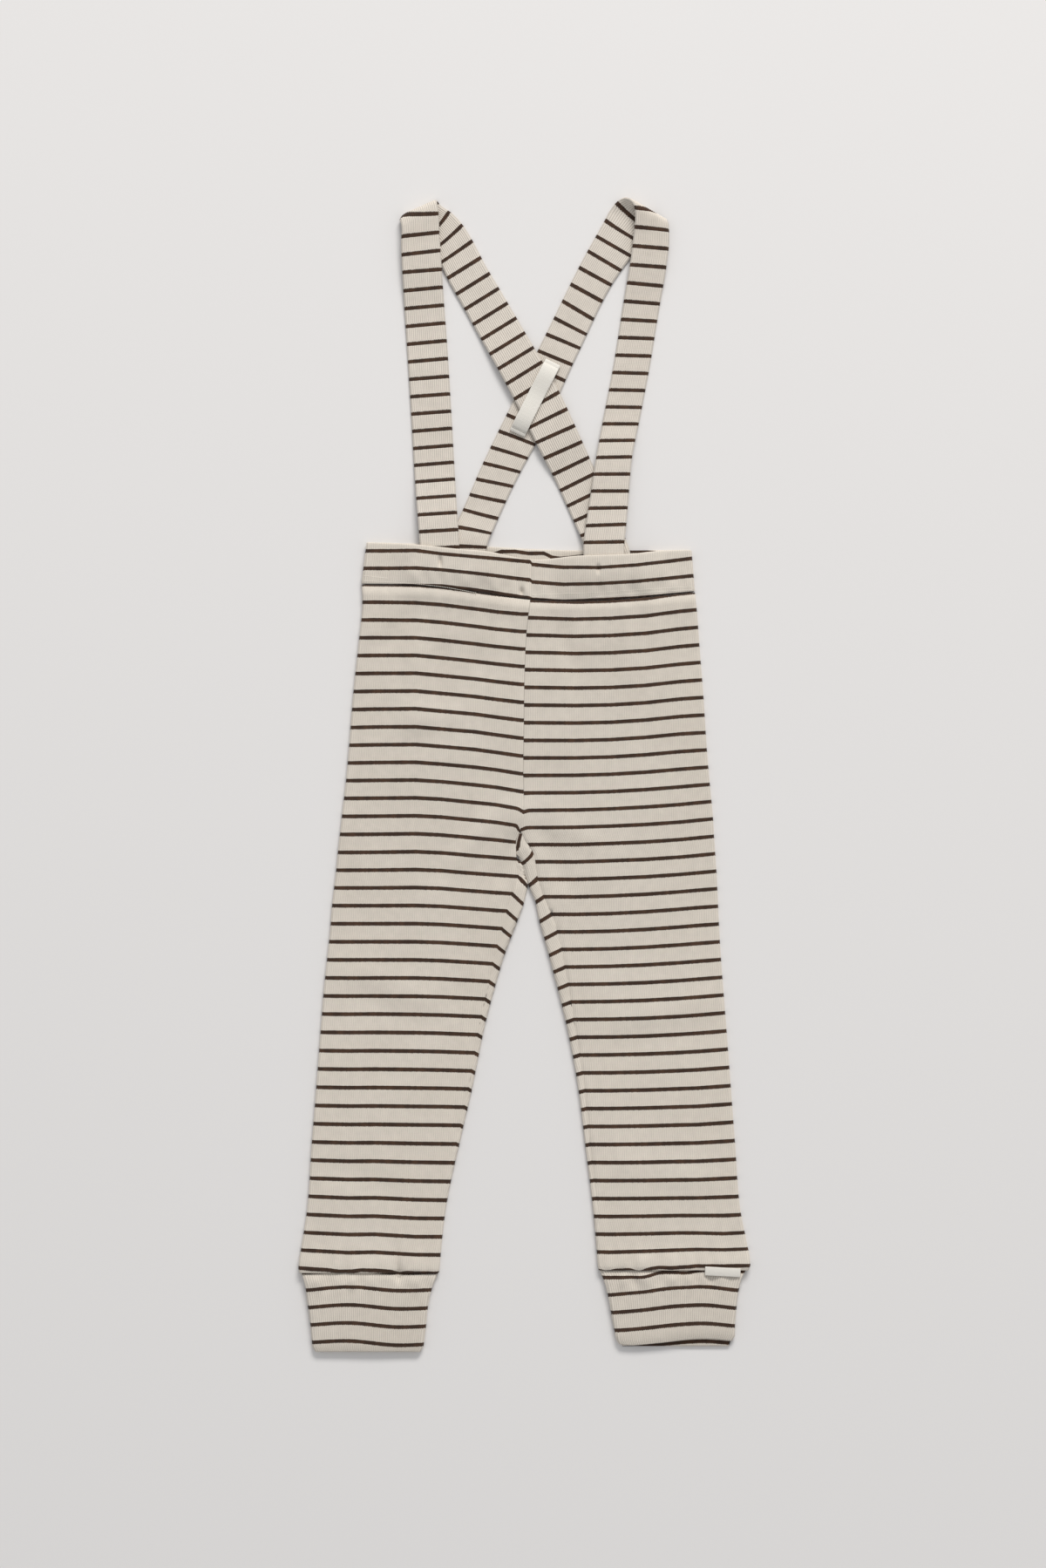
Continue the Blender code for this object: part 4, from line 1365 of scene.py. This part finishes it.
def cuff_shape(table, front_hem):
    """A cuff's ring, from its seam to its hem."""
    hem, seam = table[0, 0] + DOUBLE_CLOTH / 2.0, table[-1, 0]

    def back_y(share, x):
        return mix(seam, hem, share) + 0.0 * x

    def sides(share):
        y = mix(seam, hem, share)
        near = 1.0 - min((y - table[0, 0]) / HEM_CORNER, 1.0)
        corner = HEM_CORNER * (1.0 - math.sqrt(1.0 - near * near))
        return soft_column(table, 1, y) + corner, soft_column(table, 2, y) - corner

    def front_y(share, x):
        return back_y(share, x) + soft_column(front_hem, 1, x) * smooth(HEM_CHANGE, 1.0, share)

    def rise(x, y):
        hem_line = hem + soft_column(front_hem, 1, x)
        roll = HEM_ROLL * (1.0 - smooth(0.0, HEM_ROLL_REACH, y - hem_line + HEM_ROLL_START))
        groove = CUFF_GROOVE * bell((y - seam) / CUFF_GROOVE_REACH)
        return drape(x, y) - roll - groove + puckers(x, y, seam, *CUFF_GATHERS)

    return RingShape(sides, front_y, back_y, rise, (table[0, 1] + table[0, 2]) / 2.0)


def band_drape(x, y):
    """The unevenness of the band's front, with gathers at its seam."""
    return drape(x, y) + puckers(x, y, waist(SEAM, x), *BAND_GATHERS)


def band_shape():
    """The waistband's ring, from its top edge to its seam, closed at the centre front."""
    half = DOUBLE_CLOTH / 2.0

    def sides(share):
        return tuple(mix(top, seam, share) for top, seam in zip(BAND_SIDE_TOP, BAND_SIDE_SEAM))

    def between(top_column, share, x):
        return mix(waist(top_column, x) - half, waist(SEAM, x) + SEAM_GAP + half, share)

    def front_y(share, x):
        return between(TOP, share, x)

    def back_y(share, x):
        return between(BACK_TOP, share, x)

    def rise(x, y):
        groove = BAND_GROOVE * bell((x - BAND_SEAM_X) / BAND_GROOVE_REACH)
        return strap_rise(x, y) + band_drape(x, y) - groove

    return RingShape(sides, front_y, back_y, rise, BAND_SEAM_X)


def strap_edge(edge):
    """A long edge of a strap as a fine line of points, even from row to row of its table."""
    lengths = lengths_along(edge)
    places = np.linspace(0.0, 1.0, STRAP_EDGE_POINTS) * (len(edge) - 1.0)
    return curve(lengths, edge, np.interp(places, np.arange(len(edge)), lengths))


def make_strap(name, table, stripes, fold_bow, depth, material):
    """A doubled strap: its upper face, one rounded long edge, its lower face and the other edge."""
    half = DOUBLE_CLOTH / 2.0
    line_a, line_b = strap_edge(table[:, [0, 1, 4]]), strap_edge(table[:, [2, 3, 5]])
    lengths = lengths_along((line_a + line_b) / 2.0)
    rows = int(lengths[-1] / STRAP_ROW_PITCH)
    at = np.linspace(0.0, lengths[-1], rows)
    line_a, line_b = (points_at(lengths, line, at) for line in (line_a, line_b))
    for line in (line_a, line_b):
        line[:, 2] = np.maximum(line[:, 2], half)

    width = np.linalg.norm(line_b - line_a, axis=1)
    across = unit(line_b - line_a)
    ahead = unit(np.gradient((line_a + line_b) / 2.0, axis=0))
    normal = unit(np.cross(across, ahead))

    fold = at[np.argmax(line_a[:, 1] + line_b[:, 1])]
    bow = fold_bow * bell((at - fold) / FOLD_REACH)
    bow_way = np.stack((-across[:, 1], across[:, 0], 0.0 * at), 1) * np.sign(across[:, :1])

    columns = RIBS_ON_STRAP * BAND_RIB_COLUMNS
    shares = np.arange(columns + 1) / columns
    heights = rib_heights(BAND_RIB_PROFILE, np.arange(columns + 1), depth)
    profile = [(share, 0.0, 1.0, height) for share, height in zip(shares, heights)]
    profile += [(1.0, math.sin(turn), math.cos(turn), 0.0) for turn in EDGE_TURNS]
    profile += [(share, 0.0, -1.0, height) for share, height in zip(shares[::-1], heights[::-1])]
    profile += [(0.0, -math.sin(turn), -math.cos(turn), 0.0) for turn in EDGE_TURNS]
    first_numbers = curve(stripes[:, 1], stripes[:, 0], at)
    last_numbers = curve(stripes[:, 2], stripes[:, 0], at)
    lines, marks = [], []
    for share, beyond, side, height in profile:
        flat = line_a + across * (half + share * (width - 2.0 * half) + beyond * half)[:, None]
        flat += bow_way * (bow * (1.0 - share) * (1.0 - math.exp(-share / FOLD_EDGE_SHARE)))[:, None]
        lines.append(flat + normal * (side * (half + height)))
        numbers = mix(first_numbers, last_numbers, (share - STRIPE_SHARE) / STRIPE_SHARE_STEP)
        marks.append(np.stack((np.full(rows, share * RIBS_ON_STRAP), numbers), 1))
    return strip_mesh(name, lines, marks, material)


def ribbon_mesh(name, middle, width, cloth, steps, material, crown):
    """A flat ribbon along a line on the cloth, with rounded long edges; its map is in millimetres."""
    across_steps, along_steps = steps
    lengths = lengths_along(middle)
    at = np.linspace(0.0, lengths[-1], along_steps)
    line = curve(lengths, middle, at)
    ahead = unit(np.gradient(line, axis=0))
    across = unit(np.stack((-ahead[:, 1], ahead[:, 0], 0.0 * ahead[:, 0]), 1))
    normal = np.cross(ahead, across)
    half = cloth / 2.0
    places = np.linspace(-width / 2.0 + half, width / 2.0 - half, across_steps)
    profile = [(place, half) for place in places]
    profile += [(places[-1] + half * math.sin(turn), half * math.cos(turn)) for turn in EDGE_TURNS]
    profile += [(place, -half) for place in places[::-1]]
    profile += [(places[0] - half * math.sin(turn), -half * math.cos(turn)) for turn in EDGE_TURNS]
    lines, marks = [], []
    for place, lift in profile:
        bulge = crown * (1.0 - (2.0 * place / width) ** 2)
        lines.append(line + across * place + normal * (lift + bulge))
        marks.append(np.stack((np.full(len(at), place + width / 2.0), at), 1))
    return strip_mesh(name, lines, marks, material)


def front_top(x, y):
    """The height of the top face of the band's front."""
    return BAND_HEIGHT + DOUBLE_CLOTH / 2.0 + strap_rise(x, y) + band_drape(x, y)


def tape_middle():
    """The tape's middle line, pressed in where it is sewn down near its ends, and the length along it."""
    lengths = lengths_along(TAPE)
    at = np.linspace(0.0, lengths[-1], TAPE_POINTS)
    line = curve(lengths, TAPE, at)
    for seam in (TAPE_SEAM, lengths[-1] - TAPE_SEAM):
        line[:, 2] -= TAPE_DENT * bell((at - seam) / TAPE_DENT_REACH)
    return at, line


def tape_stitch_spans():
    """Stitches across the tape at both of its sewn ends."""
    at, line = tape_middle()
    spans = []
    for seam in (TAPE_SEAM, at[-1] - TAPE_SEAM):
        middle = points_at(at, line, seam)
        ahead = points_at(at, line[:, :2], seam + 2.0) - middle[:2]
        across = np.array((-ahead[1], ahead[0], 0.0)) / np.linalg.norm(ahead)
        middle[2] += TAPE_CLOTH / 2.0 + TAPE_STITCH_LIFT
        for place in TAPE_STITCHES:
            ends = (middle + across * place, middle + across * (place + TAPE_STITCH_LENGTH))
            spans.append((*ends, TAPE_STITCH_SINK))
    return spans


def waist_stitch_spans():
    """Stitches along the rows above the waist seam."""
    spans = []
    for row in STITCH_ROWS:
        points = np.array(row)
        lengths = lengths_along(points)
        for place in np.arange(0.0, lengths[-1] - STITCH_LENGTH, STITCH_LENGTH + STITCH_GAP):
            ends = curve(lengths, points, np.array((place, place + STITCH_LENGTH)))
            heights = front_top(ends[:, 0], ends[:, 1]) + WAIST_STITCH_LIFT
            start, end = np.hstack((ends, heights[:, None]))
            spans.append((start, end, WAIST_STITCH_SINK))
    return spans


def stitch_template():
    """Points and faces of one thread, two long along X and two thick, with a ring at its middle."""
    select_none()
    along_x = (0.0, math.pi / 2.0, 0.0)
    bpy.ops.mesh.primitive_cylinder_add(vertices=6, radius=1.0, depth=2.0, rotation=along_x)
    stitch = bpy.context.object
    bpy.ops.object.transform_apply(location=True, rotation=True, scale=True)
    bpy.ops.object.mode_set(mode="EDIT")
    bpy.ops.mesh.select_all(action="SELECT")
    bpy.ops.mesh.bisect(plane_co=(0.0, 0.0, 0.0), plane_no=(1.0, 0.0, 0.0))
    bpy.ops.object.mode_set(mode="OBJECT")
    points = np.array([vertex.co[:] for vertex in stitch.data.vertices])
    polygons = [list(face.vertices) for face in stitch.data.polygons]
    bpy.data.objects.remove(stitch)
    return points, polygons


def thread_stitches(name, spans, material):
    """Small stitches, each a copy of one rounded thread, laid from point to point."""
    template, polygons = stitch_template()
    verts, faces = [], []
    for start, end, sink in spans:
        ahead = (end - start) / 2.0
        middle = (start + end) / 2.0
        side = np.cross((0.0, 0.0, 1.0), ahead)
        side *= THREAD_HALF / np.linalg.norm(side)
        up, down = np.array((0.0, 0.0, THREAD_HALF)), np.array((0.0, 0.0, sink))
        base = len(verts)
        for x, y, z in template:
            slim = 1.0 - THREAD_TAPER * abs(x)
            place = middle + ahead * x + side * y * slim + up * (z * slim) - down * x * x
            verts.append(place.tolist())
        faces += [[base + corner for corner in face] for face in polygons]
    uvs = [[0.0, 0.0]] * sum(len(face) for face in faces)
    piece = new_mesh(name, verts, faces, uvs, material)
    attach(piece, "root")


class LEGGINGS_OT_legs(bpy.types.Operator):
    """Makes both legs, each one sheet of striped rib knit sewn to itself at the inseam"""

    bl_idname = "leggings.legs"
    bl_label = "Legs"

    def execute(self, context):
        settings = context.scene.leggings
        material = knit_for(settings, "leg_rib")
        for node, out in (("leg_left", LEFT), ("leg_right", RIGHT)):
            finish_piece(make_leg(node + "_cloth", LegShape(out), settings, material), node)
        return {"FINISHED"}


class LEGGINGS_OT_waistband(bpy.types.Operator):
    """Makes the doubled waistband"""

    bl_idname = "leggings.waistband"
    bl_label = "Waistband"

    def execute(self, context):
        settings = context.scene.leggings
        ribs = round(BAND_AROUND / (settings.rib_pitch / MM))
        depth = settings.rib_depth / MM
        material = knit_for(settings, "band_rib")
        band = make_ring("waistband_cloth", band_shape(), ribs, BAND_ROWS, depth, band_stripes, material)
        finish_piece(band, "waistband")
        return {"FINISHED"}


class LEGGINGS_OT_cuffs(bpy.types.Operator):
    """Makes both doubled cuffs"""

    bl_idname = "leggings.cuffs"
    bl_label = "Cuffs"

    def execute(self, context):
        settings = context.scene.leggings
        material = knit_for(settings, "band_rib")
        depth = CUFF_RIB_SHARE * settings.rib_depth / MM
        cuffs = (
            ("cuff_left", LEFT_CUFF, LEFT_CUFF_STRIPES, LEFT_HEM),
            ("cuff_right", RIGHT_CUFF, RIGHT_CUFF_STRIPES, RIGHT_HEM),
        )
        for node, table, stripes, front_hem in cuffs:
            around = SHEETS[node][1][0]
            ribs = round(around / settings.cuff_rib_pitch)
            shape, count = cuff_shape(table, front_hem), cuff_stripes(stripes)
            cuff = make_ring(node + "_cloth", shape, ribs, CUFF_ROWS, depth, count, material)
            finish_piece(cuff, node)
        return {"FINISHED"}


class LEGGINGS_OT_straps(bpy.types.Operator):
    """Makes both doubled shoulder straps, which fold over at the top and cross at the back"""

    bl_idname = "leggings.straps"
    bl_label = "Shoulder straps"

    def execute(self, context):
        settings = context.scene.leggings
        material = knit_for(settings, "strap_rib")
        depth = STRAP_RIB_SHARE * settings.rib_depth / MM
        straps = (
            ("strap_right", RIGHT_STRAP, RIGHT_STRAP_STRIPES, RIGHT_FOLD_BOW),
            ("strap_left", LEFT_STRAP, LEFT_STRAP_STRIPES, LEFT_FOLD_BOW),
        )
        for node, table, stripes, bow in straps:
            finish_piece(make_strap(node + "_cloth", table, stripes, bow, depth, material), node)
        return {"FINISHED"}


class LEGGINGS_OT_keeper_tape(bpy.types.Operator):
    """Makes the herringbone tape that holds the crossed straps"""

    bl_idname = "leggings.keeper_tape"
    bl_label = "Keeper tape"

    def execute(self, context):
        colour = tuple(context.scene.leggings.tape_colour)
        material = found_material(tape_material, "tape_herringbone", colour)
        middle = tape_middle()[1]
        size = (TAPE_WIDTH, TAPE_CLOTH)
        tape = ribbon_mesh("keeper_tape_cloth", middle, *size, TAPE_STEPS, material, TAPE_CROWN)
        finish_piece(tape, "keeper_tape")
        return {"FINISHED"}


class LEGGINGS_OT_tab(bpy.types.Operator):
    """Makes the bare tab at the right cuff"""

    bl_idname = "leggings.tab"
    bl_label = "Cuff tab"

    def execute(self, context):
        colour = tuple(context.scene.leggings.tape_colour)
        material = found_material(tab_material, "tab_plain_weave", colour)
        half, width = TAB_SIZE[0] / 2.0, TAB_SIZE[1]
        places = np.linspace(-half, half, 9)
        x = TAB_PLACE[0] + places * math.cos(TAB_TURN)
        y = TAB_PLACE[1] + places * math.sin(TAB_TURN)
        z = TAB_PLACE[2] + TAB_ARCH * np.cos(places / half * 1.4)
        middle = np.stack((x, y, z), 1)
        tab = ribbon_mesh("label_tab_cloth", middle, width, TAB_CLOTH, TAB_STEPS, material, TAB_CROWN)
        finish_piece(tab, "label_tab")
        return {"FINISHED"}


class LEGGINGS_OT_stitches(bpy.types.Operator):
    """Lays the sewing thread: the rows at the waist seam and the stitches at the tape's ends"""

    bl_idname = "leggings.stitches"
    bl_label = "Stitches"

    def execute(self, context):
        colour = tuple(context.scene.leggings.thread_colour)
        material = found_material(thread_material, "sewing_thread", colour)
        thread_stitches("waist_stitches", waist_stitch_spans(), material)
        thread_stitches("tape_stitches", tape_stitch_spans(), material)
        return {"FINISHED"}


class LEGGINGS_OT_stage(bpy.types.Operator):
    """Makes the floor, the light and the camera"""

    bl_idname = "leggings.stage"
    bl_label = "Stage"

    def execute(self, context):
        settings = context.scene.leggings_stage
        select_none()
        bpy.ops.mesh.primitive_plane_add(size=FLOOR_SIZE, location=(0.0, 0.0, 0.0))
        floor = context.object
        floor.name = "floor"
        floor.data.materials.append(floor_material("floor_paper", tuple(settings.floor_colour)))

        camera_data = bpy.data.cameras.new("above")
        camera_data.sensor_fit = "VERTICAL"
        camera_data.sensor_height = SENSOR_HEIGHT
        camera_data.lens = SENSOR_HEIGHT * settings.camera_height / settings.view_height
        camera_data.clip_end = 50.0
        camera = add_object("above", camera_data)
        camera.location = (*CAMERA_PLACE, settings.camera_height)
        context.scene.camera = camera

        window_data = bpy.data.lights.new("window", "AREA")
        window_data.shape = "RECTANGLE"
        window_data.size, window_data.size_y = WINDOW_SIZE
        window_data.energy = settings.light_power
        window_data.color = WINDOW_COLOUR
        window = add_object("window", window_data)
        window.location = WINDOW_PLACE
        aim = Vector(WINDOW_AIM) - Vector(window.location)
        window.rotation_euler = aim.to_track_quat("-Z", "Y").to_euler()

        world = bpy.data.worlds.new("room")
        world.use_nodes = True
        room = world.node_tree.nodes["Background"]
        room.inputs["Color"].default_value = ROOM_COLOUR
        room.inputs["Strength"].default_value = settings.fill_strength
        context.scene.world = world
        context.scene.view_settings.view_transform = "Standard"
        return {"FINISHED"}


class LEGGINGS_PT_panel(bpy.types.Panel):
    """Lists the pieces and their sizes and colours"""

    bl_idname = "LEGGINGS_PT_panel"
    bl_label = "Suspender leggings"
    bl_space_type = "VIEW_3D"
    bl_region_type = "UI"
    bl_category = "Leggings"

    def draw(self, context):
        layout = self.layout
        for operator in PIECE_OPERATORS:
            layout.operator(operator.bl_idname)
        for group in (context.scene.leggings, context.scene.leggings_stage):
            box = layout.box()
            for name in group.bl_rna.properties.keys():
                if name not in ("rna_type", "name"):
                    box.prop(group, name)


PIECE_OPERATORS = (
    LEGGINGS_OT_legs,
    LEGGINGS_OT_waistband,
    LEGGINGS_OT_cuffs,
    LEGGINGS_OT_straps,
    LEGGINGS_OT_keeper_tape,
    LEGGINGS_OT_tab,
    LEGGINGS_OT_stitches,
    LEGGINGS_OT_stage,
)
CLASSES = (LeggingsSettings, StageSettings) + PIECE_OPERATORS + (LEGGINGS_PT_panel,)


def register():
    for item in CLASSES:
        bpy.utils.register_class(item)
    bpy.types.Scene.leggings = bpy.props.PointerProperty(type=LeggingsSettings)
    bpy.types.Scene.leggings_stage = bpy.props.PointerProperty(type=StageSettings)


def unregister():
    del bpy.types.Scene.leggings_stage
    del bpy.types.Scene.leggings
    for item in reversed(CLASSES):
        bpy.utils.unregister_class(item)


def main():
    register()
    select_none()
    bpy.ops.leggings.legs()
    bpy.ops.leggings.waistband()
    bpy.ops.leggings.cuffs()
    bpy.ops.leggings.straps()
    bpy.ops.leggings.keeper_tape()
    bpy.ops.leggings.tab()
    bpy.ops.leggings.stitches()
    bpy.ops.leggings.stage()


if __name__ == "__main__":
    main()
